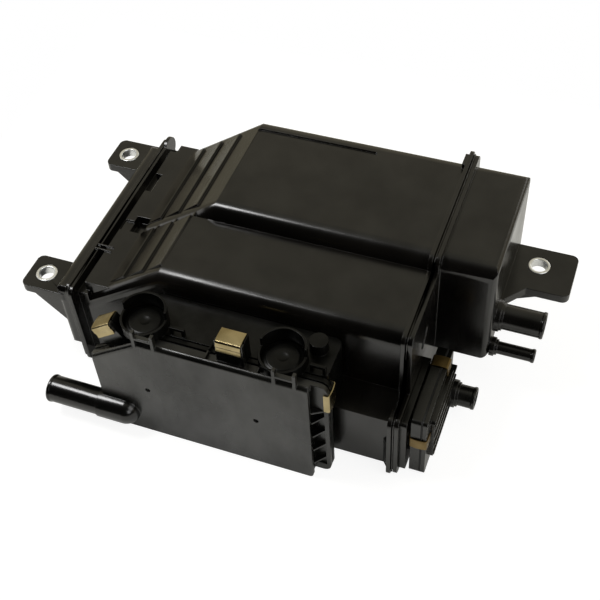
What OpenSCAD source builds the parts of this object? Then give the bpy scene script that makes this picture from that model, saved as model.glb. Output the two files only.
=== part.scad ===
// Charcoal canister: a two-chamber fuel vapour store with end caps, an air filter box and a vent valve.
// Millimetres, +X along the canister from the two-ear end to the port end, +Y to the tall chamber, +Z up.
// Lengths run from the left bush line, from the rear left bush, and from the plane it rests on.

/* [Body] */
// Length of the body between its two weld flanges
body_len = 210; // [180:1:240]
// Outside width of the tall rear chamber
rear_w = 89; // [80:1:100]
// Outside width of the lower front chamber
front_w = 53; // [45:1:62]
// Height of the rear chamber roof above the body floor
rear_h = 101; // [92:1:112]
// Drop from the rear chamber roof to the front chamber roof
roof_drop = 10; // [8:0.5:14]
// Height of the body floor above the rest plane
floor_lift = 6; // [3:0.5:9]
// Wall thickness of the mouldings
wall = 2.5; // [1.8:0.1:3]
// Radius of the long roof edges
roof_r = 9.4; // [6:0.1:12]
// Back wall of the body behind the rear left bush
back_reach = 10; // [6:1:16]

/* [Ramp and ledge] */
// Slope of the ramp at the two-ear end
ramp_angle = 35; // [30:1:40]
// Height of the flat ledge above the body floor
ledge_h = 63; // [56:1:66]
// Ledge start behind the left flange
ledge_gap = 4.5; // [3:0.5:7]
// Depth of the channel between the ledge and the left flange
neck_drop = 7; // [4:0.5:10]
// Ramp foot behind the left flange
ramp_foot = 20; // [14:1:26]
// Height of each shingle step on the ramp
step_h = 1.4; // [0.8:0.1:2]
// Distance along the slope between two steps
step_pitch = 17.5; // [14:0.5:19]
// Thickness of the fins across the ramp groove
fin_t = 1.8; // [1.2:0.1:3]
// Width of the groove across the ledge
ledge_groove = 9; // [6:0.5:10]
// Depth of the groove across the ledge
ledge_groove_d = 1.6; // [0.8:0.1:1.8]
// Back end of the recess in the ledge, in front of the back wall
recess_back = 34; // [28:1:40]
// Length of the recess in the ledge
recess_l = 17; // [10:1:22]
// Length of the pocket at the ramp foot
pocket_l = 9; // [6:0.5:11]
// Width of the pocket at the ramp foot
pocket_w = 14; // [9:0.5:18]
// Depth of the pocket at the ramp foot
pocket_d = 6; // [3:0.5:8]
// Distance of the channel ribs in front of the step between the chambers
rib_front = 17.5; // [12:0.5:30]
// Thickness of the ribs and fins that stiffen the mouldings
fin_w = 1.2; // [0.8:0.1:1.6]
// Height of the ribs above the face that they stand on
fin_h = 0.9; // [0.5:0.1:1.5]
// Length of the narrow groove in the rear roof
roof_groove_len = 80; // [60:1:90]
// Width of the narrow groove in the rear roof
roof_groove_w = 3; // [2:0.1:4]
// Depth of the narrow groove in the rear roof
roof_groove_d = 1.2; // [0.6:0.1:1.4]

/* [Lower block] */
// Reach of the lower block in front of the front chamber wall
block_d = 23; // [18:1:28]
// Height of the lower block above the body floor
block_h = 43.5; // [38:0.5:48]
// Start of the lower block behind the left flange
block_start = 48; // [40:1:56]

/* [Weld flanges] */
// Thickness of a body flange
flange_t = 2.5; // [2:0.1:3.5]
// Flange rim outside the wall that it carries
flange_lip = 5; // [4:0.5:7]
// Corner radius of the flanges
flange_r = 5; // [3:0.5:6]
// Radius of the round tab on the left flange
tab_r = 8; // [5:0.5:9]
// Inset of a cap flange from its body flange
cap_inset = 1.5; // [1:0.1:2.5]
// Width of the weld slot between the right flanges
weld_gap = 1.3; // [0.8:0.1:1.6]
// Depth of the weld slot between the right flanges
weld_depth = 3; // [2:0.1:4]
// Number of teeth behind the right body flange, low on the block
tooth_n = 8; // [4:1:9]
// Spacing of the teeth
tooth_pitch = 3.2; // [2.4:0.1:3.6]
// Reach of the teeth along the block
tooth_d = 3.5; // [2:0.1:5]
// Length of the lug behind the top of the right body flange
flange_lug = 10; // [6:0.5:12]

/* [Left cap and ears] */
// Depth of the left cap in front of its flange
cap_d = 12; // [9:1:16]
// Distance between the two left bushes
bush_span = 119; // [112:1:124]
// Left bush line in front of the left cap face
bush_reach = 13; // [11:0.5:16]
// Height of the ear tops above the rest plane
ear_z = 57; // [54:0.5:59]
// Thickness of an ear
ear_t = 6; // [5:0.1:8]
// Width of a left ear
ear_w = 27; // [25:1:30]
// Reach of an ear past its bush
ear_over = 12; // [10.5:0.5:14]
// Corner radius of the ears
ear_r = 4.5; // [3:0.5:6]
// Thickness of the gussets below the ears
gusset_t = 3; // [2:0.1:4]
// Height of the gussets below the ears
gusset_h = 22; // [14:1:28]

/* [Bushes] */
// Bush outside diameter
bush_od = 14; // [13:0.1:16]
// Bush bore diameter
bush_id = 10; // [8:0.1:11]
// Bush standing proud of each ear face
bush_proud = 0.2; // [0.1:0.05:0.6]

/* [Right cover] */
// Depth of the right cover box behind its flange
cover_d = 33.2; // [28:0.1:38]
// Underside of the right cover box above the body floor
cover_z = 23; // [18:1:26]
// Radius at the end face of the right cover
cover_r = 5; // [3:0.5:7]
// Right bush distance from the cover end face
right_bush_reach = 16; // [14:0.5:18]
// Right bush in front of the rear left bush
right_bush_y = 18.2; // [15:0.1:22]
// Right ear width behind its bush
right_ear_back = 15; // [12:0.5:18]
// Right ear width in front of its bush
right_ear_front = 21; // [18:0.5:24]
// Right ear reach past its bush
right_ear_over = 22.5; // [16:0.5:26]
// Root width of the right ear gusset
right_gusset = 15; // [10:1:18]

/* [Hose ports] */
// Large port outside diameter
port_od = 16; // [14:0.1:18]
// Large port wall
port_wall = 2; // [1.5:0.1:2.5]
// Large port length
port_len = 29.3; // [24:0.1:34]
// Large port axis behind the cover front
port_y = 17; // [15:0.5:20]
// Large port axis above the cover underside
port_z = 24; // [22:0.5:30]
// Small port outside diameter
vent_od = 8; // [6:0.1:9]
// Small port wall
vent_wall = 1.5; // [1:0.1:2]
// Small port length
vent_len = 27.5; // [22:0.5:32]
// Small port axis behind the cover front
vent_y = 7; // [5.5:0.5:9]
// Small port axis above the cover underside
vent_z = 6; // [5.5:0.5:8]
// Height of the bead at a port tip
bead_h = 0.7; // [0.4:0.1:1]
// Width of the bead at a port tip
bead_w = 6; // [4:0.5:8]
// Height of the collar at a port root
collar_h = 2; // [1:0.1:2.5]
// Length of the collar at a port root
collar_w = 3; // [2:0.1:4]

/* [Filter box] */
// Left edge of the filter cover plate behind the left flange
plate_start = 33; // [28:1:38]
// Length of the filter cover plate
plate_len = 136.5; // [128:0.5:142]
// Height of the filter cover plate
plate_h = 88; // [84:0.5:92]
// Thickness of the filter cover plate
plate_t = 3; // [2:0.1:4]
// Front of the plate ahead of the lower block
plate_reach = 20; // [19:0.5:24]
// Width of the sloped corner of the plate
chamfer_w = 33.5; // [28:0.5:38]
// Height of the sloped corner of the plate
chamfer_h = 24; // [20:0.5:28]
// Plate edge standing above the deck behind it
lip_h = 4; // [3:0.5:6]
// Thickness of each filter flange
seam_t = 3; // [2:0.1:3.5]
// Thickness of the filter gasket
seal_t = 1; // [0.6:0.1:1.5]
// Depth of the filter base behind its flange
base_d = 6.2; // [5:0.1:7]
// Reach of the filter flanges past the right end of the plate
seam_over = 9; // [7:0.5:11]
// Reach of the filter flanges past the left end of the plate
seam_left = 5; // [3:0.5:6]
// Recess depth of the ladder at the plate end
ladder_d = 6; // [4:0.5:8]
// Number of rungs in the ladder
rung_n = 4; // [3:1:4]
// Distance between two rungs
rung_pitch = 13.6; // [10:0.1:14]
// Thickness of a rung
rung_t = 1.6; // [1.2:0.1:2.4]
// Rise of a rung from the plate to the flange
rung_rise = 8; // [4:0.5:10]
// Distances of the shelf ribs behind the plate from its left end
shelf_ribs = [74, 94.2, 105.5]; // [60:0.1:110]
// Height of the shelf ribs
shelf_h = 2.6; // [1.5:0.1:3.5]
// Radius of the two dimples in the plate
dimple_r = 1.6; // [1:0.1:2.5]
// Distance of a dimple from the plate end
dimple_in = 33.5; // [28:0.5:40]
// Fresh air tube outside diameter
tube_od = 17; // [15:0.5:18]
// Fresh air tube wall
tube_wall = 2; // [1.5:0.1:2.5]
// Free length of the fresh air tube
tube_free = 38; // [34:0.5:48]
// Length of the tube half sunk in the plate
tube_sunk = 14.5; // [10:0.5:18]
// Fresh air tube axis above the rest plane
tube_z = 16.3; // [14:0.1:19]

/* [Filter cups] */
// Outside radius of a cup
cup_r = 14; // [12.5:0.1:15]
// Wall of a cup
cup_wall = 1.5; // [1.2:0.1:2.5]
// Height of a cup above the deck
cup_h = 7.5; // [6:0.5:10]
// Height of the half round wall behind a cup
cup_back = 6; // [4:0.5:9]
// Thickness of the disc in a cup
disc_t = 3; // [2:0.1:5]
// First cup behind the left end of the plate
cup_a = 31; // [29:0.5:33]
// Distance between the cups
cup_pitch = 85; // [80:1:90]
// Width of the bracket in front of a cup
bracket_w = 14; // [10:0.5:18]
// Height of the bracket in front of a cup
bracket_h = 9; // [6:0.5:12]
// Thickness of the brackets
bracket_t = 2; // [1.4:0.1:2.6]
// Radius of the screw lug on the deck
lug_r = 5.5; // [4:0.5:6]
// Height of the screw lug on the deck
lug_h = 8; // [3:0.5:12]

/* [Filter element] */
// Number of folds in the paper element
pleat_n = 24; // [14:1:28]
// Thickness of the paper
paper_t = 0.8; // [0.5:0.1:1.2]

/* [Spring clips] */
// Width of a clip
clip_w = 15; // [12:0.5:18]
// Thickness of the clip strip
clip_t = 1; // [0.6:0.1:1.4]
// Height of the flange post that a clip grips
clip_tab = 17; // [12:0.5:20]
// Length of a clip leg
clip_leg = 7; // [5:0.5:8]
// Length of the legs of the clip at the ladder end
end_clip_leg = 3; // [2:0.1:6]

/* [Vent valve] */
// Length of the valve housing along the flange
valve_l = 58; // [52:1:62]
// Height of the valve housing
valve_h = 51; // [46:1:53]
// Depth of the valve housing
valve_d = 6; // [5.5:0.5:8]
// Thickness of the foot plate on the cover flange
foot_t = 4; // [3:0.1:5]
// Gap between the foot plate and the valve housing
valve_neck = 1.7; // [1:0.1:3]
// Underside of the valve housing above the rest plane
valve_z = 0.8; // [0.4:0.1:2]
// Depth of the valve cover rim
valve_rim = 2.5; // [2:0.1:3.5]
// Depth of the raised middle of the valve cover
valve_pad = 2.7; // [2:0.1:4]
// Edge left around the raised middle
valve_edge = 8; // [7.5:0.5:10]
// Rib count on the valve cover
rib_n = 4; // [3:1:5]
// Width of a rib on the valve cover
rib_w = 2; // [1.2:0.1:2.6]
// Height of a rib on the valve cover
rib_h = 0.8; // [0.5:0.1:1.2]
// Nozzle outside diameter
nozzle_od = 13.5; // [12:0.1:15]
// Nozzle wall
nozzle_wall = 2; // [1.5:0.1:2.5]
// Nozzle length
nozzle_len = 15; // [12:0.5:18]
// Width of a valve clip
valve_clip_w = 8; // [6:0.5:10]

/* [Charcoal and springs] */
// Thickness of a foam pad
pad_t = 4; // [3:0.1:5]
// Thickness of a pierced plate
grid_t = 2.5; // [2:0.1:3]
// Hole diameter in a pierced plate
grid_hole = 4; // [3:0.1:4.6]
// Hole spacing in a pierced plate
grid_pitch = 9; // [8:0.5:12]
// Mean radius of a bed spring
spring_r = 9; // [7:0.5:10]
// Wire diameter of a bed spring
wire_d = 1.6; // [1.2:0.1:2]
// Turns of a bed spring
turns = 4; // [3:0.5:5]
// Working clearance between loose pieces
gap = 0.3; // [0.2:0.05:0.4]

/* [Hidden] */
$fn = 48;
eps = 0.02;
far = 400;

// Stations along X
cap_x = bush_reach;
cap_flange_x = cap_x + cap_d;
left_flange_x = cap_flange_x + flange_t;
body_x0 = left_flange_x + flange_t;
body_x1 = body_x0 + body_len;
right_flange_x = body_x1 + flange_t;
cover_flange_x = right_flange_x + weld_gap;
cover_x0 = cover_flange_x + flange_t;
cover_x1 = cover_x0 + cover_d;
right_bush_x = cover_x1 + right_bush_reach;
right_tip_x = right_bush_x + right_ear_over;
ledge_x = body_x0 + ledge_gap;

// Stations along Y
back_y = back_reach;
step_y = back_y - rear_w;
front_y = step_y - front_w;
block_y = front_y - block_d;
plate_y = block_y - plate_reach;
plate_in_y = plate_y + plate_t;
seam_y0 = block_y - 2 * seam_t - seal_t - base_d;
seam_y1 = seam_y0 + seam_t;
seam_y2 = seam_y1 + seal_t;
seam_y3 = seam_y2 + seam_t;
tab_y = back_y + flange_lip - tab_r + 1;
right_back_y = back_y + flange_lip;
recess_y = back_y - recess_back;

// Stations along Z
floor_z = floor_lift;
rear_z = floor_z + rear_h;
front_z = rear_z - roof_drop;
ledge_z = floor_z + ledge_h;
neck_z = ledge_z - neck_drop;
block_z = floor_z + block_h;
cover_z0 = floor_z + cover_z;
deck_z = plate_h - lip_h;

// Ramp line
foot_x = body_x0 + ramp_foot;
ramp_reach = (front_z - ledge_z) / tan(ramp_angle);
roof_x = foot_x + (rear_z - ledge_z) / tan(ramp_angle);
room_x = ledge_x + ramp_foot * 2 / 3;
ramp_r = roof_r * 9 / 10;

// Outer limits and the shift that centres the canister
low_x = -ear_over;
high_x = right_tip_x;
low_y = plate_y - tube_od / 2 - bead_h;
high_y = max(tab_y + tab_r, right_back_y);
home = [-(low_x + high_x) / 2, -(low_y + high_y) / 2, 0];

// Solid between two corners
module block(a, b) {
    translate(a)
        cube(b - a);
}

// A flat shape drawn in (Y, Z) carried along X
module along_x(x0, x1) {
    translate([x0, 0, 0])
        rotate([90, 0, 90])
            linear_extrude(x1 - x0)
                children();
}

// A flat shape drawn in (X, Z) carried along Y
module along_y(y0, y1) {
    translate([0, y1, 0])
        rotate([90, 0, 0])
            linear_extrude(y1 - y0)
                children();
}

// A flat shape drawn in (X, Y) carried along Z
module along_z(z0, z1) {
    translate([0, 0, z0])
        linear_extrude(z1 - z0)
            children();
}

// Rectangle between two corners
module pane(a, b) {
    translate(a)
        square(b - a);
}

// Rectangle with four round corners
module rounded(a, b, r) {
    pane(a + [r, 0], b - [r, 0]);
    pane(a + [0, r], b - [0, r]);
    for (u = [a[0] + r, b[0] - r])
        for (v = [a[1] + r, b[1] - r])
            translate([u, v])
                circle(r);
}

// Rectangle with its two upper corners round
module rounded_top(a, b, r) {
    pane(a, b - [0, r]);
    pane(a + [r, 0], b - [r, 0]);
    for (u = [a[0] + r, b[0] - r])
        translate([u, b[1] - r])
            circle(r);
}

// Rectangle with its upper front corner round
module rounded_front(a, b, r) {
    pane(a, b - [0, r]);
    pane(a + [r, 0], b);
    translate([a[0] + r, b[1] - r])
        circle(r);
}

// Places its children with X running up the ramp and Z square to it
module on_ramp() {
    translate([foot_x, 0, ledge_z])
        rotate([0, -ramp_angle, 0])
            children();
}

// Tall chamber from x0 on, d inside its outer faces
module rear_room(d, x0) {
    low = [step_y + d, floor_z + d];
    high = [back_y - d, rear_z - d];
    intersection() {
        along_x(x0, body_x1 + far)
            rounded_top(low, high, roof_r - d);
        on_ramp()
            along_x(-far, far)
                rounded_top([low[0], -far], [high[0], -d], ramp_r - d);
    }
}

// Low chamber from x0 on, d inside its outer faces, reaching over past the step
module front_room(d, x0, over) {
    low = [front_y + d, floor_z + d];
    high = [step_y - d + over, front_z - d];
    intersection() {
        along_x(x0, body_x1 + far)
            rounded_front(low, high, roof_r - d);
        on_ramp()
            along_x(-far, far)
                rounded_front([low[0], -far], [high[0], -d], ramp_r - d);
    }
}

// Space below the ledge and the channel, between two side planes
module ledge_space(d, y0, y1) {
    block([ledge_x + d, y0, floor_z + d + wall / 2], [foot_x + wall, y1, ledge_z - d]);
    block([cap_flange_x, y0 + wall / 2, floor_z + d + wall],
        [ledge_x + d + wall / 2, y1 - wall / 2, neck_z - d]);
}

// Space of the tall chamber, c inside its walls
module rear_space(c) {
    d = wall + c;
    difference() {
        union() {
            rear_room(d, room_x);
            ledge_space(d, step_y + d + wall / 2, back_y - d - wall);
        }
        block([foot_x - pocket_l - d, step_y, ledge_z - pocket_d - d],
            [foot_x + 3 * wall / 2, step_y + pocket_w + d, far]);
    }
}

// Space of the low chamber, c inside its walls
module front_space(c) {
    d = wall + c;
    front_room(d, room_x, 0);
    ledge_space(d, front_y + ear_r + d, step_y - d - wall / 2);
}

// Outline of the right flanges, d inside the largest
module right_outline(d) {
    rounded([step_y - flange_lip + d, 0], [right_back_y - d, rear_z + flange_lip - d], flange_r);
    rounded([front_y - flange_lip + d, 0], [right_back_y - d, front_z + flange_lip - d], flange_r);
    rounded([block_y - flange_lip + d, 0], [right_back_y - d, block_z + flange_lip - d], flange_r);
}

// Outline of the left flanges, d inside the largest
module left_outline(d) {
    rounded([front_y - flange_lip - 1 + d, 0], [back_y + flange_lip - 1 - d, ledge_z + d / 3], flange_r);
}

// Shingle steps and groove fins on the ramp
module ramp_steps() {
    length = ramp_reach / cos(ramp_angle);
    on_ramp()
        for (i = [0:2]) {
            run = length - i * step_pitch;
            for (span = [[front_y + roof_r, step_y], [step_y + roof_r, back_y - roof_r]])
                along_y(span[0], span[1])
                    polygon([
                        [run - step_pitch + fin_t, -eps],
                        [run - fin_t / 2, step_h],
                        [run, step_h],
                        [run, -wall]
                    ]);
            block([run - fin_t, step_y - eps, -roof_r - wall], [run, step_y + roof_r, -step_h / 2]);
        }
}

module canister_body() {
    color("#23221f")
        difference() {
            union() {
                intersection() {
                    union() {
                        rear_room(0, ledge_x + wall / 2);
                        front_room(0, ledge_x + wall / 2, gap);
                        ramp_steps();
                        block([ledge_x, front_y + ear_r, floor_z + wall / 2],
                            [foot_x + wall, back_y - wall, ledge_z]);
                        block([block_start + body_x0, block_y, floor_z], [body_x1, front_y + eps, block_z]);
                    }
                    block([0, -far, 0], [body_x1, far, far]);
                }
                block([body_x0 - eps, front_y + wall / 2, floor_z + wall / 4],
                    [ledge_x + wall, back_y - wall / 2, neck_z]);
                along_x(left_flange_x, body_x0)
                    left_outline(0);
                along_x(left_flange_x, body_x0)
                    translate([tab_y, ledge_z - tab_r * 2 / 3])
                        circle(tab_r);
                along_x(body_x1 - eps, right_flange_x)
                    right_outline(0);
                channel_ribs();
                flange_teeth();
                block([body_x1 - 2 * fin_w, right_back_y - flange_r - flange_lug, rear_z - wall],
                    [body_x1 + flange_t / 2, right_back_y - flange_r, rear_z + flange_lip - fin_w]);
            }
            intersection() {
                union() {
                    rear_space(0);
                    front_space(0);
                    block_space();
                }
                block([0, -far, 0], [right_flange_x + 1, far, far]);
            }
            ledge_cuts();
            roof_groove();
        }
}

// Three-cornered teeth between the lower block and the right body flange
module flange_teeth() {
    for (i = [0:tooth_n - 1])
        along_z(floor_z + (i + 0.5) * tooth_pitch, floor_z + (i + 1) * tooth_pitch)
            polygon([
                [body_x1 - tooth_d, block_y + eps],
                [body_x1 + eps, block_y - flange_lip + fin_h],
                [body_x1 + eps, block_y + eps]
            ]);
}

// Space of the lower block
module block_space() {
    x0 = block_start + body_x0 + wall;
    block([x0, block_y + wall, floor_z + wall], [body_x1 + far, front_y + 2 * wall, block_z - wall]);
}

// Groove, notch and recess in the ledge
module ledge_cuts() {
    block([body_x0, step_y, ledge_z - ledge_groove_d], [foot_x, step_y + ledge_groove, far]);
    block([body_x0, back_y - 4 * wall, neck_z], [ledge_x + ledge_gap, far, far]);
    block([body_x0, recess_y - recess_l, neck_z], [ledge_x + ledge_gap, recess_y, far]);
    block([foot_x - pocket_l, step_y + wall / 4, ledge_z - pocket_d],
        [foot_x + wall / 4, step_y + pocket_w, far]);
}

// Two ribs across the channel behind the left flange
module channel_ribs() {
    for (y = [step_y - rib_front, step_y - rib_front - 3 * fin_w])
        block([left_flange_x + eps, y, neck_z - wall / 2], [ledge_x + ledge_gap, y + fin_w, ledge_z + fin_h]);
}

// Narrow groove along the back of the rear roof
module roof_groove() {
    y = back_y - roof_r - roof_groove_w;
    x0 = roof_x;
    along_z(rear_z - roof_groove_d, rear_z + 1)
        rounded([x0, y - roof_groove_w / 2], [x0 + roof_groove_len, y + roof_groove_w / 2],
            roof_groove_w / 2 - eps);
}

// A flat ear with one bush hole, drawn from x0 to x1
module ear(x0, x1, y0, y1) {
    along_z(ear_z - ear_t, ear_z)
        rounded([x0, y0], [x1, y1], ear_r);
}

module left_end_cap() {
    low = [front_y, floor_z];
    high = [back_y, neck_z];
    color("#23221f")
        difference() {
            union() {
                intersection() {
                    along_x(cap_x, cap_flange_x + eps)
                        rounded(low, high, flange_r);
                    along_y(-far, far)
                        rounded([cap_x, floor_z], [cap_flange_x + far, neck_z], flange_r);
                    along_z(0, far)
                        rounded([cap_x, front_y], [cap_flange_x + far, back_y], flange_r);
                }
                along_x(cap_flange_x, left_flange_x)
                    left_outline(cap_inset);
                for (y = [0, -bush_span]) {
                    ear(-ear_over, cap_x + 2 * ear_r, y - ear_w / 2, y + ear_w / 2);
                    for (side = [-1, 1])
                        translate([0, y + side * (ear_w / 2 - gusset_t), 0])
                            along_y(-gusset_t / 2, gusset_t / 2)
                                polygon([
                                    [-ear_over / 2, ear_z - ear_t + eps],
                                    [cap_x + wall, ear_z - ear_t + eps],
                                    [cap_x + wall, ear_z - ear_t - gusset_h]
                                ]);
                }
            }
            along_x(cap_x + wall, left_flange_x + 1)
                rounded(low + [wall, wall], high - [wall, wall], flange_r - wall / 2);
            for (y = [0, -bush_span])
                bush_hole(0, y);
        }
}

// Hole for a bush
module bush_hole(x, y) {
    translate([x, y, ear_z - ear_t - 1])
        cylinder(r = bush_od / 2 + gap / 2, h = ear_t + 2);
}

module mount_bushes() {
    color("#d4d6d8")
        for (p = [[0, 0], [0, -bush_span], [right_bush_x, -right_bush_y]])
            translate([p[0], p[1], ear_z - ear_t - bush_proud])
                difference() {
                    cylinder(r = bush_od / 2, h = ear_t + 2 * bush_proud);
                    translate([0, 0, -1])
                        cylinder(r = bush_id / 2, h = ear_t + 2 * bush_proud + 2);
                }
}

// Outer form of the cover box, d inside its faces
module cover_box(d) {
    intersection() {
        along_x(cover_flange_x - d, cover_x1 - d)
            rounded_top([step_y + d, cover_z0 + d], [back_y - d, rear_z - d], roof_r - d);
        along_y(-far, far)
            rounded([0, cover_z0 + d], [cover_x1 - d, rear_z - d], cover_r - d / 2);
        along_z(0, far)
            rounded([0, step_y + d], [cover_x1 - d, back_y - d], cover_r - d / 2);
    }
}

// Round tip bead about Z, ending at z = 0
module tip_bead(r) {
    translate([0, 0, -bead_w])
        cylinder(r1 = r, r2 = r + bead_h, h = bead_w / 4);
    translate([0, 0, -bead_w * 3 / 4])
        cylinder(r = r + bead_h, h = bead_w / 2);
    translate([0, 0, -bead_w / 4])
        cylinder(r1 = r + bead_h, r2 = r, h = bead_w / 4);
}

// Tube along X with a tip bead and a root collar
module spigot(x0, len, r) {
    translate([x0, 0, 0])
        rotate([0, 90, 0]) {
            cylinder(r = r, h = len);
            translate([0, 0, len])
                tip_bead(r);
            cylinder(r = r + collar_h, h = collar_w);
            translate([0, 0, collar_w])
                cylinder(r = r + collar_h / 2, h = collar_w / 2);
        }
}

// Round bore along X
module bore_x(x0, x1, r) {
    translate([x0, 0, 0])
        rotate([0, 90, 0])
            cylinder(r = r, h = x1 - x0);
}

// Locating ring that enters a chamber and holds its pierced plate
module locating_ring(x0, x1, low, high) {
    d = wall + gap;
    along_x(x0, x1)
        difference() {
            rounded(low + [d, d], high - [d, d], roof_r - d);
            rounded(low + [d + wall, d + wall], high - [d + wall, d + wall], roof_r / 3);
        }
}

module right_end_cover() {
    port = [0, step_y + port_y, cover_z0 + port_z];
    vent = [0, step_y + vent_y, cover_z0 + vent_z];
    ear_x0 = cover_x1 - 2 * ear_r;
    ear_y0 = -right_bush_y - right_ear_front;
    ear_y1 = -right_bush_y + right_ear_back;
    color("#23221f")
        difference() {
            union() {
                along_x(cover_flange_x, cover_x0)
                    right_outline(cap_inset);
                along_x(right_flange_x, cover_flange_x + eps)
                    right_outline(weld_depth);
                locating_ring(body_x1 + gap, right_flange_x + eps, [step_y, floor_z], [back_y, rear_z]);
                locating_ring(body_x1 + gap, right_flange_x + eps, [front_y, floor_z], [step_y, front_z]);
                cover_box(0);
                ear(ear_x0, right_tip_x, ear_y0, ear_y1);
                along_z(ear_z - ear_t, ear_z)
                    polygon([
                        [ear_x0, ear_y0 + ear_r],
                        [ear_x0, ear_y0 - right_gusset],
                        [cover_x1, ear_y0 - right_gusset],
                        [right_bush_x, ear_y0 + ear_r]
                    ]);
                for (y = [ear_y0 + gusset_t, ear_y1 - gusset_t])
                    along_y(y - gusset_t / 2, y + gusset_t / 2)
                        polygon([
                            [right_bush_x + ear_over / 2, ear_z - ear_t + eps],
                            [cover_x1 - eps, ear_z - ear_t + eps],
                            [cover_x1 - eps, ear_z - ear_t - gusset_h / 2]
                        ]);
                translate(port)
                    spigot(cover_x1 - eps, port_len, port_od / 2);
                translate(vent)
                    spigot(cover_x1 - eps, vent_len, vent_od / 2);
            }
            intersection() {
                cover_box(wall);
                block([cover_flange_x, -far, 0], [far, far, far]);
            }
            along_x(right_flange_x - 1, cover_x0)
                rounded_top([step_y + 3 * wall, cover_z0 + wall],
                    [back_y - 3 * wall, rear_z - 3 * wall], roof_r / 2);
            translate(port)
                bore_x(cover_x1 - 2 * wall, far, port_od / 2 - port_wall);
            translate(vent)
                bore_x(cover_x1 - 2 * wall, far, vent_od / 2 - vent_wall);
            bush_hole(right_bush_x, -right_bush_y);
            translate(neck_at)
                bore_x(right_flange_x - 1, cover_x0 + 1, neck_r - wall);
        }
}

// Charcoal, pads and pierced plates
grid_x0 = ledge_x + wall + gap;
pad_x0 = grid_x0 + grid_t;
bed_x0 = pad_x0 + pad_t;
grid_x1 = body_x1 + gap;
pad_x1 = grid_x1 - grid_t;
bed_x1 = pad_x1 - pad_t;

// Slab of a chamber between two stations
module slab(x0, x1) {
    intersection() {
        children();
        block([x0, -far, 0], [x1, far, far]);
    }
}

// Round holes of a pierced plate inside a rectangle
module grid_holes(y0, y1, z0, z1) {
    cols = floor((y1 - y0 - grid_pitch) / grid_pitch);
    rows = floor((z1 - z0 - grid_pitch) / grid_pitch);
    for (i = [0:cols])
        for (j = [0:rows])
            translate([
                (y0 + y1) / 2 + (i - cols / 2) * grid_pitch,
                (z0 + z1) / 2 + (j - rows / 2) * grid_pitch
            ])
                circle(grid_hole / 2, $fn = 16);
}

module rear_charcoal_bed() {
    color("#141414")
        slab(bed_x0, bed_x1)
            rear_space(gap / 2);
}

module front_charcoal_bed() {
    color("#141414")
        slab(bed_x0, bed_x1)
            front_space(gap / 2);
}

module rear_left_pad() {
    color("#4a4a46")
        slab(pad_x0, bed_x0)
            rear_space(gap / 2);
}

module rear_right_pad() {
    color("#4a4a46")
        slab(bed_x1, pad_x1)
            rear_space(gap / 2);
}

module front_left_pad() {
    color("#4a4a46")
        slab(pad_x0, bed_x0)
            front_space(gap / 2);
}

module front_right_pad() {
    color("#4a4a46")
        slab(bed_x1, pad_x1)
            front_space(gap / 2);
}

module rear_left_grid() {
    color("#55534c")
        difference() {
            slab(grid_x0, pad_x0)
                rear_space(gap / 2);
            along_x(grid_x0 - 1, pad_x0 + 1)
                grid_holes(step_y + 2 * wall, back_y - 3 * wall, floor_z + 3 * wall, ledge_z - 2 * wall);
        }
}

module rear_right_grid() {
    color("#55534c")
        difference() {
            slab(pad_x1, grid_x1)
                rear_space(gap / 2);
            along_x(pad_x1 - 1, grid_x1 + 1)
                grid_holes(step_y + 3 * wall, back_y - 3 * wall, floor_z + 3 * wall, rear_z - 3 * wall);
        }
}

module front_left_grid() {
    color("#55534c")
        difference() {
            slab(grid_x0, pad_x0)
                front_space(gap / 2);
            along_x(grid_x0 - 1, pad_x0 + 1)
                grid_holes(front_y + ear_r + 2 * wall, step_y - 2 * wall,
                    floor_z + 3 * wall, ledge_z - 2 * wall);
        }
}

module front_right_grid() {
    color("#55534c")
        difference() {
            slab(pad_x1, grid_x1)
                front_space(gap / 2);
            along_x(pad_x1 - 1, grid_x1 + 1)
                grid_holes(front_y + 3 * wall, step_y - 2 * wall, floor_z + 3 * wall, front_z - 3 * wall);
        }
}

// Points of one wire ring on a helix along X
function coil_ring(t, r, len, n, w, sides) = [
    for (k = [0:sides - 1])
        let (a = 360 * n * t, b = 360 * k / sides, q = r + w * cos(b))
            [w + (len - 2 * w) * t + w * sin(b), q * cos(a), q * sin(a)]
];

// Helical wire along X from 0 to len
module coil(r, len, n, w) {
    sides = 8;
    count = ceil(n * 20);
    points = [for (i = [0:count]) each coil_ring(i / count, r, len, n, w, sides)];
    walls = [
        for (i = [0:count - 1])
            for (k = [0:sides - 1])
                let (n = (k + 1) % sides)
                    [i * sides + k, i * sides + n, (i + 1) * sides + n, (i + 1) * sides + k]
    ];
    tail = [for (k = [0:sides - 1]) sides - 1 - k];
    head = [for (k = [0:sides - 1]) count * sides + k];
    polyhedron(points, concat([tail, head], walls), convexity = 8);
}

module rear_springs() {
    len = grid_x0 - cap_x - wall;
    color("#b9bcc0")
        for (y = [step_y + rear_w / 4, back_y - rear_w / 4])
            translate([cap_x + wall, y, (floor_z + neck_z) / 2])
                coil(spring_r, len, turns, wire_d / 2);
}

module front_springs() {
    len = grid_x0 - cap_x - wall;
    color("#b9bcc0")
        translate([cap_x + wall, step_y - front_w / 2, (floor_z + neck_z) / 2])
            coil(spring_r, len, turns, wire_d / 2);
}

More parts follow.
